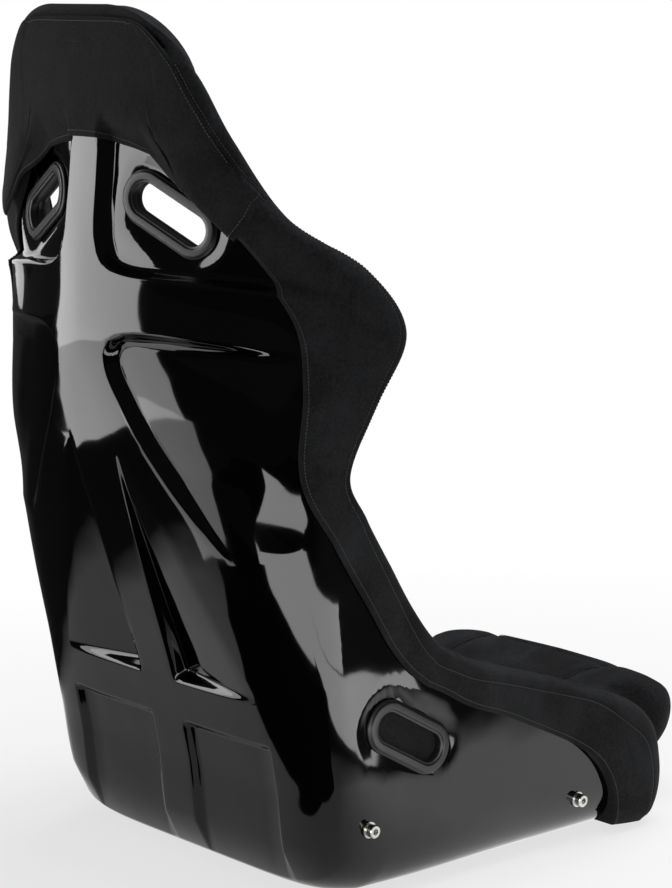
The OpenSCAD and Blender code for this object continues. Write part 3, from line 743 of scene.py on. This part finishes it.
# The flat back leans with the shell, bends forward to the sides and is stepped down 1.6 mm inside
# its edge.
from_rim = np.hypot(gap[:OUTER_POINTS, 0], gap[:OUTER_POINTS, 2])
panel_y = (367.5 - 8 * np.clip(outer[..., 0] / 100, 0, 1.6) ** 3
           - 0.12 * np.clip(840 - outer[..., 2], 0, 40) - 1.6 * ease(from_rim, 6, 10))
rim_y = turned[:, OUTER_POINTS - 1:OUTER_POINTS, 1]
EDGE_RADIUS = 9
rounded = rim_y + (panel_y - rim_y) * np.sqrt(1 - (1 - np.minimum(from_rim / EDGE_RADIUS, 1)) ** 2)
outer[..., 1] = mix(outer[..., 1], rounded, ease(np.concatenate([b, 0 * run + 2]), 0, 0.8))
half_band = np.concatenate([head_rings, turned])
band = np.concatenate([half_band, half_band[-2::-1] * [-1, 1, 1]])
head_band = build("head_band_cover", *tube(band), suede)
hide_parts("head_side_left", "head_side_right", "head_roll")
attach(head_band, "root")
print("rings:", len(side_rings), "in a bolster cover,", len(band), "round the head")

# %% [markdown]
# ## The back of the head
# A flat suede panel covers the back of the head. Its lower edge is an arch over the two shoulder
# slots, and its sides and top run up to the double seam with the band that wraps the head's edge.

# %% Head panel
SEAM = np.array([  # where the double seam runs: section, column
    [3.3, 18], [4.5, 17.8], [6.3, 17], [7.1, 16.9], [8.4, 17.6], [12.6, 17.9], [14.2, 18],
    [14.76, 17.8], [15.16, 17.4], [15.56, 16.6], [16.26, 15.9], [16.68, 15.2], [17.28, 14.6],
    [17.7, 14.2], [17.87, 13.9], [18, 12.9]])
ARCH = np.array([  # lower edge of the panel: column, section
    [0, 15.56], [6.1, 15.56], [7.3, 15.5], [9.1, 15.44], [10.2, 15.38], [10.8, 15.24],
    [11.6, 15.06], [12.4, 14.94], [12.8, 14.7], [13, 14.16], [13.8, 14.38], [14.9, 14.68],
    [16.1, 15.02], [17.6, 15.3]])

u = spread((0, 0.25, 6), (0.25, 0.62, 20), (0.62, 1, 26))
u = np.concatenate([-u[:0:-1], u])
near = np.linspace(14, 16, 801)[:, None]
below = near < lookup(np.abs(u) * lookup(near, SEAM), ARCH)
low = near[np.minimum(800, 801 - np.argmax(below[::-1], 0)), 0]
v = np.concatenate([[0, 0.008, 0.025, 0.06], np.linspace(0.1, 1, 34)])[:, None]
panel_t = low + (17.97 - low) * v
panel_j = u * lookup(panel_t, SEAM)
rolled = np.interp(v, [0, 0.008, 0.025, 1], [GAP + 0.9, OUT_D - 0.5, OUT_D, OUT_D]) + 0 * panel_t
lift = 0.5 * ease(np.abs(panel_j), 12.6, 13.2)
TAUT = np.array([[0, 15.56], [7.3, 15.5], [10.2, 15.38], [11.6, 15.06], [13.2, 14.8], [15, 14.4],
                 [18, 14.0]])
above = height(panel_t) - height(lookup(np.abs(panel_j), TAUT))
stretched_over = np.maximum(ease(above, 2, 42), ease(np.abs(panel_j), 10.4, 13.4))


def head_skin(d):
    """The head panel's surface: on the pressed shell at its hem, drawn flat over the pressing
    above."""
    return mix(skin(panel_t, panel_j, d), skin(panel_t, panel_j, d, pressed=False),
               stretched_over[..., None])


head_front = head_skin(rolled + lift)
head_panel = build("head_back_cover", *slab(head_front, head_skin(GAP + 0 * lift)), suede)
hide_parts("head_cover")
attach(head_panel, "root")

# %% [markdown]
# ## Pads
# The pads between the bolsters are foam in sewn suede. Each is blocked out between a front and a
# rear sheet. A short cloth simulation then puffs it up with air pressure, as foam fills its cover,
# and the sewn channels are pulled in afterwards, because a remesh would erase a line that is
# thinner than itself.

# %% Pad shapes
def refine(grid, rows, cols):
    """A grid of points drawn smooth both ways."""
    return np.swapaxes(through(np.swapaxes(through(grid, rows), 0, 1), cols), 0, 1)


def pad_sheets(t, thick, edge, rows, cols=33):
    """Front and rear sheet of a pad over the sections t[0] to t[1]. The front stands out by edge +
    (thick - edge) (1 - u^6) (1 - v^6), so it is full in the middle and pulls in at its edges."""
    v = np.linspace(-1, 1, rows)[:, None]
    u = np.linspace(-1, 1, cols)[None]
    t = t[0] + (t[1] - t[0]) * (v + 1) / 2 + 0 * u
    j = u * (split(t) - 0.25)
    rise = edge + (thick - edge) * (1 - np.abs(v) ** 6) * (1 - np.abs(u) ** 6)
    return [skin(t, j, FOAM_BACK - r, pressed=False) for r in (rise, 0 * rise)]


def channel_lines(front, x):
    """Two lines down the front sheet, x mm to the left and to the right of its middle."""
    return [np.array([[np.interp(side * x, row[:, 0], row[:, i]) for i in range(3)]
                      for row in front[1:-1]])
            for side in (-1, 1)]


def front_normals(front, rear):
    """Normals of the front sheet: the cross product of its two directions, on the side away from
    the rear."""
    normal = unit(np.cross(np.gradient(front, axis=0), np.gradient(front, axis=1)) + 1e-9)
    return normal * np.sign((normal * (front - rear)).sum(-1, keepdims=True))


CHANNEL_X, CHANNEL_DEPTH, CHANNEL_WIDTH = 72, 7, 4.5  # the sewn channels of the pads, mm
CLOTH_FRAMES = 20
CUSHION_ROWS = np.array([
    # pan section, y and z of the top, width factor
    [0, -293, 52, 1.0], [0.2, -314, 62, 1.035], [0.4, -326, 80, 1.06], [0.7, -328, 99, 1.065],
    [1.2, -319, 117, 1.065], [2, -297, 127, 1.055], [3, -264, 129, 1.03], [4.2, -225, 125, 1.0],
    [6, -165, 112, 1], [7, -118, 103, 1], [7.5, -85, 96, 1], [8.4, -35, 93, 1], [9.2, 20, 88, 1],
    [10.4, 75, 81, 1], [11.4, 125, 77, 1], [13, 168, 72, 0.99], [14.6, 196, 60, 0.97]], float)
CUSHION_COLUMNS = [[0.5, 14, 1], [1.5, 42, 1], [2.6, 76, 1], [3, 89, 0.985], [3.3, 102, 1],
                   [3.7, 132, 0.99], [4, 156, 0.93], [6, 168, 0.6], [7, 166, 0.2]]
PAN_ROWS = [0, 0.4, 0.8, 1.2, 1.6, 2, 2.5, 3, 3.5, 4, 4.5, 5, 5.4, 5.7, 6, 6.3, 6.6, 6.85, 7.1]


def cushion_sheets():
    """Top and bottom of the seat cushion: the bottom lies on the pan, the top is given row by
    row."""
    half = np.array(CUSHION_COLUMNS, float)
    cols = np.vstack([half[::-1] * [-1, -1, 1], half])
    under = skin(np.interp(CUSHION_ROWS[:, 0], np.arange(19), PAN_ROWS)[:, None], cols[None, :, 0],
                 np.full((17, 18), IN_D - 2.6))
    x = cols[None, :, 1] * CUSHION_ROWS[:, 3:4]
    i = np.arange(17)[:, None]
    swept = 22 * np.maximum(0, 1 - i / 8) * (np.abs(x) / 160) ** 4
    crown = 4 * (1 - (x / 160) ** 2)
    over = np.stack([x, CUSHION_ROWS[:, 1:2] + swept, CUSHION_ROWS[:, 2:3] + crown], -1)
    top = mix(under, over, cols[None, :, 2:3])
    top[..., 0] = x
    return refine(top, 5, 4), refine(under, 5, 4)


def plug(matrix, offset, low, high, side=1):
    """A solid bar of the slot's outline, offset mm larger, to cut an opening with."""
    outline = stadium(offset)
    rings = [np.hstack([outline, np.full((len(outline), 1), z)]) for z in (low, high)]
    points, faces = tube(place(matrix, np.stack(rings)))
    return build("plug", points * np.array([side, 1, 1]), faces)


def drop_object(piece):
    """Removes a helper object and its mesh."""
    mesh = piece.data
    bpy.data.objects.remove(piece)
    bpy.data.meshes.remove(mesh)


def made(piece, name):
    """The piece as its modifiers leave it, as a new object."""
    evaluated = piece.evaluated_get(bpy.context.evaluated_depsgraph_get())
    mesh = bpy.data.meshes.new_from_object(evaluated)
    mesh.name = name
    return put_in_scene(name, mesh)


def coordinates(piece):
    """Points of an object's mesh after its modifiers, mm."""
    mesh = piece.evaluated_get(bpy.context.evaluated_depsgraph_get()).to_mesh()
    flat = np.empty(3 * len(mesh.vertices))
    mesh.vertices.foreach_get("co", flat)
    return flat.reshape(-1, 3) * 1000


def blocked_out(name, front, rear, plugs, voxel):
    """A pad cut round its openings and remeshed to even cells, ready to be puffed up."""
    rough_pad = build(name + "_rough", *slab(front, rear))
    for cutter in plugs:
        cut = rough_pad.modifiers.new("opening", "BOOLEAN")
        cut.object, cut.operation, cut.solver = cutter, "DIFFERENCE", "EXACT"
    cells = rough_pad.modifiers.new("even cells", "REMESH")
    cells.mode, cells.voxel_size = "VOXEL", voxel * 0.001
    pad = made(rough_pad, name)
    for piece in (rough_pad, *plugs):
        drop_object(piece)
    return pad


PADS = {}
for name, t, thick, edge, rows, voxel, cap in (
        ("lumbar_pad", (t_of_z(64) - 0.55, t_of_z(289)), 40, 14, 37, 5, 7),
        ("back_pad", (t_of_z(291), t_of_z(585)), 34, 14, 41, 5, 7),
        ("shoulder_panel", (t_of_z(587), t_of_z(733)), 12, 9, 25, 4, 0),
        ("head_pad", (t_of_z(735), t_of_z(822)), 30, 12, 21, 5, 6)):
    front, rear = pad_sheets(t, thick, edge, rows)
    plugs = []
    if name == "shoulder_panel":
        plugs = [plug(AT_SHOULDER, FLANGE + 0.5, -80, 20, side) for side in (1, -1)]
    lines = channel_lines(front, CHANNEL_X) if name in ("lumbar_pad", "back_pad") else []
    PADS[name] = {"piece": blocked_out(name + "_cover", front, rear, plugs, voxel),
                  "rear": rear, "front": front, "cap": cap, "lines": lines}
front, rear = cushion_sheets()
PADS["seat_cushion"] = {
    "piece": blocked_out("seat_cushion_cover", front, rear,
                         [plug(AT_CROTCH, 3, -20, 200),
                          plug(AT_CROTCH, FLANGE + 0.5, CUSHION_TOP, 200)], 5),
    "rear": rear, "front": front, "cap": 6,
    "lines": [front[14:-4, c] for c in (20, 48)] + [front[28, 20:49]]}
print("pads:", {k: len(p["piece"].data.vertices) for k, p in PADS.items()})


# %% Puffing up
def nearest(points, targets):
    """Distance from each point to the nearest of the targets, and which one it is, in slices."""
    best = [((p[:, None] - targets[None]) ** 2).sum(-1)
            for p in np.array_split(points, max(1, len(points) // 400))]
    which = np.concatenate([b.argmin(1) for b in best])
    return np.linalg.norm(points - targets[which], axis=-1), which


def puff(pads):
    """Runs some frames of cloth under air pressure on the pads that have a cap, all at once."""
    live = [p for p in pads.values() if p["cap"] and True]
    for p in live:
        cloth = p["piece"].modifiers.new("cloth", "CLOTH")
        cloth.settings.use_pressure = True
        cloth.settings.uniform_pressure_force = 4
        cloth.settings.effector_weights.gravity = 0
        cloth.settings.quality = 4
    for number in range(1, CLOTH_FRAMES + 1 if live else 1):
        bpy.context.scene.frame_set(number)
    for p in live:
        p["puffed"] = coordinates(p["piece"])
        p["piece"].modifiers.clear()
    bpy.context.scene.frame_set(1)


puff(PADS)
for name, pad in PADS.items():
    piece, rear = pad["piece"], pad["rear"].reshape(-1, 3)
    start = coordinates(piece)
    moved = pad.get("puffed", start) - start
    length = np.linalg.norm(moved, axis=-1, keepdims=True)
    moved *= np.minimum(1, pad["cap"] / np.maximum(length, 1e-6))
    behind, _ = nearest(start, rear)
    moved *= ease(behind, 3, 14)[:, None]
    final = start + moved
    if pad["lines"]:
        far_off, _ = nearest(start, np.concatenate([along(line, 3) for line in pad["lines"]]))
        _, which = nearest(start, pad["front"].reshape(-1, 3))
        outward_now = front_normals(pad["front"], pad["rear"]).reshape(-1, 3)[which]
        pulled = CHANNEL_DEPTH * np.exp(-(far_off / CHANNEL_WIDTH) ** 2) * (behind > 8)
        final -= outward_now * pulled[:, None]
    piece.data.vertices.foreach_set("co", (final * 0.001).ravel())
    piece.data.polygons.foreach_set("use_smooth", np.ones(len(piece.data.polygons), bool))
    piece.data.materials.clear()
    piece.data.materials.append(suede)
    piece.data.update()
    fine = piece.modifiers.new("fine", "SUBSURF")
    fine.levels = fine.render_levels = 1
    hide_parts(name)
    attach(piece, "root")
    print(name, "moved at most", round(float(np.linalg.norm(moved, axis=-1).max()), 1), "mm")

# %% [markdown]
# ## Seams and stitches
# Each seam is a thin dark line where two panels of suede meet, with a row of topstitching on each
# side. A stitch is one small capsule of thread, 2.4 mm long. A row is one mesh: the capsule's
# points are copied to every place on the path as one array, turned to the path's direction.


# %% Stitches
def lengths_along(lines):
    """Length from the start of each line to each of its points."""
    step = np.linalg.norm(np.diff(lines, axis=1), axis=-1)
    return np.concatenate([np.zeros((len(lines), 1)), np.cumsum(step, 1)], 1)


def inset(lines, distance, lift=0.2):
    """On a grid of lines, the point of each line at a distance from its start, lifted off the
    surface, with the surface's normal there (the cross product of the grid's two directions, made
    to point out)."""
    far_along = lengths_along(lines)
    distance = np.broadcast_to(np.asarray(distance, float), (len(lines),))[:, None]
    i = np.clip((far_along <= distance).sum(1) - 1, 0, lines.shape[1] - 2)
    row = np.arange(len(lines))
    f = ((distance[:, 0] - far_along[row, i])
         / np.maximum(far_along[row, i + 1] - far_along[row, i], 1e-6))
    normal = unit(np.cross(np.gradient(lines, axis=0), np.gradient(lines, axis=1)) + 1e-9)
    from_axis = lines * [1, 1, 0] - [0, 120, 0]
    normal *= np.sign((normal * from_axis).sum(-1))[..., None]
    p = mix(lines[row, i], lines[row, i + 1], f[:, None])
    n = unit(mix(normal[row, i], normal[row, i + 1], f[:, None]))
    return p + n * lift, n


def along_path(at, s, values):
    """Values given at the lengths s, read at the lengths at."""
    return np.stack([np.interp(at, s, values[:, i]) for i in range(3)], -1)


def round_path(path_way, normals):
    """Six directions round a path, at right angles to it and 60 degrees apart."""
    n = unit(normals - path_way * (normals * path_way).sum(-1, keepdims=True))
    a = np.radians(np.arange(0, 360, 60))[None, :, None]
    return np.cross(path_way, n)[:, None] * np.cos(a) + n[:, None] * np.sin(a), n


def stitches(path, normals, pitch=3.4, length=2.4, radius=0.42):
    """Points and faces of a row: a six-sided capsule at every pitch along the path."""
    s = lengths_along(path[None])[0]
    at = np.arange(pitch / 2, s[-1], pitch)
    way = unit(along_path(at + 0.5, s, path) - along_path(at - 0.5, s, path))
    six, _ = round_path(way, along_path(at, s, normals))
    x = np.array([-0.5, -0.36, 0.36, 0.5])[None, :, None, None] * length
    r = np.array([0.35, 1, 1, 0.35])[None, :, None, None] * radius
    points = (along_path(at, s, path)[:, None, None] + way[:, None, None] * x
              + six[:, None] * r)
    one = quads(4, 6, wrap=True)
    count = 24 * np.arange(len(at))[:, None, None]
    sides = (one[None] + count).reshape(-1, 4)[:, ::-1].tolist()
    ends = np.array([[0, 1, 2, 3, 4, 5], [23, 22, 21, 20, 19, 18]])
    return points.reshape(-1, 3), sides + (ends[None] + count).reshape(-1, 6).tolist()


def seam_tube(path, normals, radius=0.55, lift=-0.35):
    """A thin six-sided tube along a path: the dark line of a seam."""
    six, n = round_path(unit(np.gradient(path, axis=0)), normals)
    return tube((path + n * lift)[:, None] + radius * six)


def joined(parts):
    """Several sets of points and faces as one."""
    points, faces, start = [], [], 0
    for p, f in parts:
        points.append(p)
        faces += [[v + start for v in face] for face in f]
        start += len(p)
    return np.vstack(points), faces


def sewn(name, parts, material=thread):
    """A piece made of several rows."""
    piece = build(name, *joined(parts), material, closed=False)
    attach(piece, "root")


# %% Rows on the bolster covers
BESIDE_SEAM, BESIDE_CHANNEL = 3.6, 4.6  # from a seam or a channel to its topstitching


def hem_to_seam(rings, t):
    """Distance from the hem to the seam on each ring, whose points 2 to 18 lie on the columns 13.02
    to 18."""
    place_on = 2 + 16 * (lookup(t, SEAM) - 13.02) / 4.98
    total = lengths_along(rings[:, :OUTER_POINTS + 6])
    low = np.floor(place_on).astype(int)
    row = np.arange(len(rings))
    return mix(total[row, low], total[row, low + 1], place_on - low)


whole = np.concatenate([side_rings, head_rings[1:]])
whole_t = np.concatenate([np.full(len(nose_rings) - 1, NOSE_T), body_t, head_t[1:]])
face = whole[:, :OUTER_POINTS + 6]
to_seam = hem_to_seam(face, whole_t)
fan = len(nose_rings) - 1
crest_start = lengths_along(face)[:, OUTER_POINTS]
to_seam[:fan] = mix(crest_start[:fan], to_seam[fan], np.linspace(0, 1, fan) ** 3)
hem_rows = slice(0, np.searchsorted(whole_t, 14.2))
doubled = slice(np.searchsorted(whole_t, 11.5), None)
rows = [inset(face[hem_rows], 7.5), inset(face[6:], to_seam[6:] - BESIDE_SEAM),
        inset(face[doubled], to_seam[doubled] + BESIDE_SEAM)]
seam_path = inset(face[4:], to_seam[4:])
for side, word in ((1, "left"), (-1, "right")):
    flip = np.array([side, 1, 1])
    sewn(f"bolster_stitches_{word}", [stitches(p * flip, n * flip) for p, n in rows])
    sewn(f"bolster_seam_{word}", [seam_tube(seam_path[0] * flip, seam_path[1] * flip)], suede)

# %% Rows on the head and the pads
up_lines = np.swapaxes(head_front, 0, 1)
inward = slice(6, -2)
rows = [inset(up_lines, 6.5), inset(up_lines[2:-2, ::-1], 4),
        inset(head_front[inward], BESIDE_SEAM), inset(head_front[inward, ::-1], BESIDE_SEAM)]
sewn("head_stitches", [stitches(p, n) for p, n in rows])
rim_line = np.concatenate([head_front[4:, 0], head_front[-1], head_front[:3:-1, -1]])
rim_way = unit(rim_line - [0, 300, 780])
sewn("head_seam", [seam_tube(rim_line, rim_way, lift=0)], suede)
pad_rows = []
# A channel's stitches start 12 mm outside the pad and come down its normal to the nearest surface.
for pad in PADS.values():
    surface, front = coordinates(pad["piece"]), pad["front"].reshape(-1, 3)
    normal = front_normals(pad["front"], pad["rear"]).reshape(-1, 3)
    for line in pad["lines"]:
        path = along(line, 4)
        _, which = nearest(path, front)
        n = normal[which]
        across = unit(np.cross(unit(np.gradient(path, axis=0)), n))
        for step in (-BESIDE_CHANNEL, BESIDE_CHANNEL):
            p = path + across * step + n * 12
            for _ in range(3):
                _, which = nearest(p, surface)
                p = p + n * ((surface[which] - p) * n).sum(-1, keepdims=True)
            pad_rows.append(stitches(p + n * 0.4, n))
sewn("pad_stitches", pad_rows)
print("stitch rows made")

# %% [markdown]
# ## Floor, background and lamps
# Black gloss shows little colour of its own: what is seen in it is the studio. So the room matters
# as much as the material. The lamps are of two kinds. Some are seen only in the gloss, where they
# draw the highlights on the spine, beside it, on the flank and on the left shoulder, and three
# light only the suede. In the gloss the paper floor is white near the seat and black further off,
# and dimmer behind it than in front, so the lower faces glow softly up to a clear edge. A black
# cloth that lies behind the seat gives the dark band beside the lower back. Dark walls keep the
# rest of the gloss black. To the camera the background is white, and the floor keeps a soft shadow.

# %% Floor, walls and world
# Matt white paper. The gloss sees it shine with the strength near_white x behind. The camera sees
# the lit paper mixed with an even white, by a share that grows with the distance.
paper, shader, spot = new_material("white_paper_floor")
finish(paper, shader, Base_Color=(0.8, 0.8, 0.8, 1), Roughness=0.9, Specular_IOR_Level=0)
ray = node(paper, "ShaderNodeLightPath").outputs
to_camera, to_gloss = ray["Is Camera Ray"], ray["Is Glossy Ray"]
oval_spot = node(paper, "ShaderNodeVectorMath", spot, (1, 0.8, 1), (-0.04, -0.032, 0),
                 operation="MULTIPLY_ADD")
reach = node(paper, "ShaderNodeVectorMath", oval_spot, operation="LENGTH").outputs["Value"]
y = node(paper, "ShaderNodeSeparateXYZ", spot).outputs["Y"]
behind = node(paper, "ShaderNodeMapRange", y, From_Min=-0.05, From_Max=0.25, To_Min=1.3, To_Max=0.5)
near_white = node(paper, "ShaderNodeMapRange", reach, From_Min=0.54, From_Max=0.62, To_Min=0.95,
                  To_Max=0.04)
far = node(paper, "ShaderNodeMapRange", reach, From_Min=0.3, From_Max=1.1, To_Min=0.72, To_Max=1.0)
dimmed = node(paper, "ShaderNodeMath", near_white, behind, operation="MULTIPLY")
mirrored = node(paper, "ShaderNodeMath", dimmed, to_gloss, operation="MULTIPLY")
strength = node(paper, "ShaderNodeMath", mirrored, to_camera, operation="MAXIMUM")
share = node(paper, "ShaderNodeMath", to_camera, far, operation="MULTIPLY")
either = node(paper, "ShaderNodeMath", share, to_gloss, operation="MAXIMUM")
glow = node(paper, "ShaderNodeEmission", Color=(1, 1, 1, 1), Strength=strength)
blend = node(paper, "ShaderNodeMixShader", either, shader, glow)
put(paper, paper.node_tree.nodes["Material Output"].inputs[0], blend)
a = np.radians(np.arange(0, 360, 6))
disc = np.stack([9000 * np.cos(a), 9000 * np.sin(a), np.full(60, -0.4)], -1)
floor = build("floor", disc, [list(range(60))], paper, closed=False)

# Black velvet, whose pile swallows nearly all light. Only the gloss sees this cloth.
velvet, shader, _ = new_material("black_velvet_cloth")
finish(velvet, shader, Base_Color=colour("020202"), Roughness=1, Specular_IOR_Level=0)
corners = [[200, 1500, 0.6], [170, 600, 0.6], [120, 470, 0.6], [-60, 430, 0.6], [-300, 400, 0.6],
           [-450, 300, 0.6], [-1500, 300, 0.6], [-1500, 1500, 0.6]]
cloth = build("black_cloth", corners, [list(range(7, -1, -1))], velvet, closed=False)
cloth.visible_camera = cloth.visible_shadow = cloth.visible_diffuse = False

# The dark walls also glow faintly, at a strength of 0.04: a weak light from all round, which falls
# on the suede from every side and shows in the gloss as a dim grey.
matt_black, shader, _ = new_material("dark_studio_walls")
finish(matt_black, shader, Base_Color=(0.01, 0.01, 0.01, 1), Roughness=1, Specular_IOR_Level=0,
       Emission_Color=(1, 1, 1, 1), Emission_Strength=0.04)
lift = np.radians(np.linspace(0, 88, 12))[:, None]
dome = 6000 * np.stack([np.cos(a)[None] * np.cos(lift), np.sin(a)[None] * np.cos(lift),
                        np.sin(lift) + 0 * a[None]], -1)
walls = build("studio_walls", dome.reshape(-1, 3), quads(12, 60, wrap=True), matt_black,
              closed=False)
walls.visible_camera = walls.visible_shadow = False

world = bpy.data.worlds.new("studio")
bpy.context.scene.world = world
world.use_nodes = True
world.node_tree.nodes["Background"].inputs["Color"].default_value = (1, 1, 1, 1)
bpy.context.scene.view_settings.view_transform = "Standard"


# %% Lamps
def soft_box(name, centre, aim, size, radiance, mirrored=True):
    """A rectangular lamp at centre that faces aim. A lamp of area A and radiance L gives pi A L
    watts. It is there either to be mirrored in the gloss or to light the suede."""
    lamp = bpy.data.lights.new(name, "AREA")
    lamp.shape = "RECTANGLE"
    lamp.size, lamp.size_y = size
    lamp.energy = math.pi * size[0] * size[1] * radiance
    box = put_in_scene(name, lamp)
    way = np.array(aim, float) - np.array(centre, float)
    side = unit(np.cross(way, [0, 0, 1.0]))
    top = unit(np.cross(side, way))
    out = unit(-way)
    box.matrix_world = Matrix([[side[i], top[i], out[i], centre[i]] for i in range(3)]
                              + [[0, 0, 0, 1]])
    box.visible_camera = False
    box.visible_glossy = mirrored
    box.visible_diffuse = not mirrored


def panel(az, distance, u0, u1, z0, z1):
    """Centre, aim and size of an upright panel at a distance from the origin in the direction az (0
    is +Y, 90 is +X); u runs along it."""
    n = np.array([math.sin(math.radians(az)), math.cos(math.radians(az)), 0])
    u = np.array([n[1], -n[0], 0])
    centre = n * distance + u * (u0 + u1) / 2 + [0, 0, (z0 + z1) / 2]
    return centre, centre - n, (abs(u1 - u0), z1 - z0)


# Panels: direction, distance, start and end along it, foot and head in m, and then the radiance.
soft_box("soft_box_spine", *panel(75, 0.9, -1.5, -0.47, 0.35, 1.3), 5.2)
soft_box("soft_box_spine_low", *panel(75, 0.9, -1.5, -0.47, 0.09, 0.35), 3.2)
soft_box("soft_box_ledge", *panel(75, 0.9, -0.02, 0.3, 0.5, 0.95), 1.2)
soft_box("soft_box_recess", *panel(35, 0.7, -0.42, -0.19, 0.01, 0.35), 1.9)
# The flank's lamp bends round the seat: each part stands on a line from start to end, x and y, m.
for name, start, end, z0, z1 in (("rear", (-0.2, 0.9), (-0.64, 0.44), 0.02, 0.21),
                                 ("high", (-0.64, 0.44), (-0.53, -0.01), 0.115, 0.2),
                                 ("low", (-0.64, 0.44), (-0.5, -0.08), 0.035, 0.115)):
    middle = np.array([start[0] + end[0], start[1] + end[1], z0 + z1]) / 2
    facing = [start[1] - end[1], end[0] - start[0], 0]
    size = math.dist(start, end), z1 - z0
    soft_box(f"soft_box_flank_{name}", middle, middle + facing, size, 4.4)
soft_box("soft_box_top", (-0.4, -0.3, 2.6), (0, 0, 0.3), (2.4, 2.4), 3.2, mirrored=False)
soft_box("soft_box_fill", (-2.2, 1.2, 1.6), (0, 0, 0.5), (1.6, 1.6), 1.2, mirrored=False)
soft_box("soft_box_front", (0.9, -2.4, 1.7), (0, 0, 0.45), (1.8, 1.8), 2.0, mirrored=False)
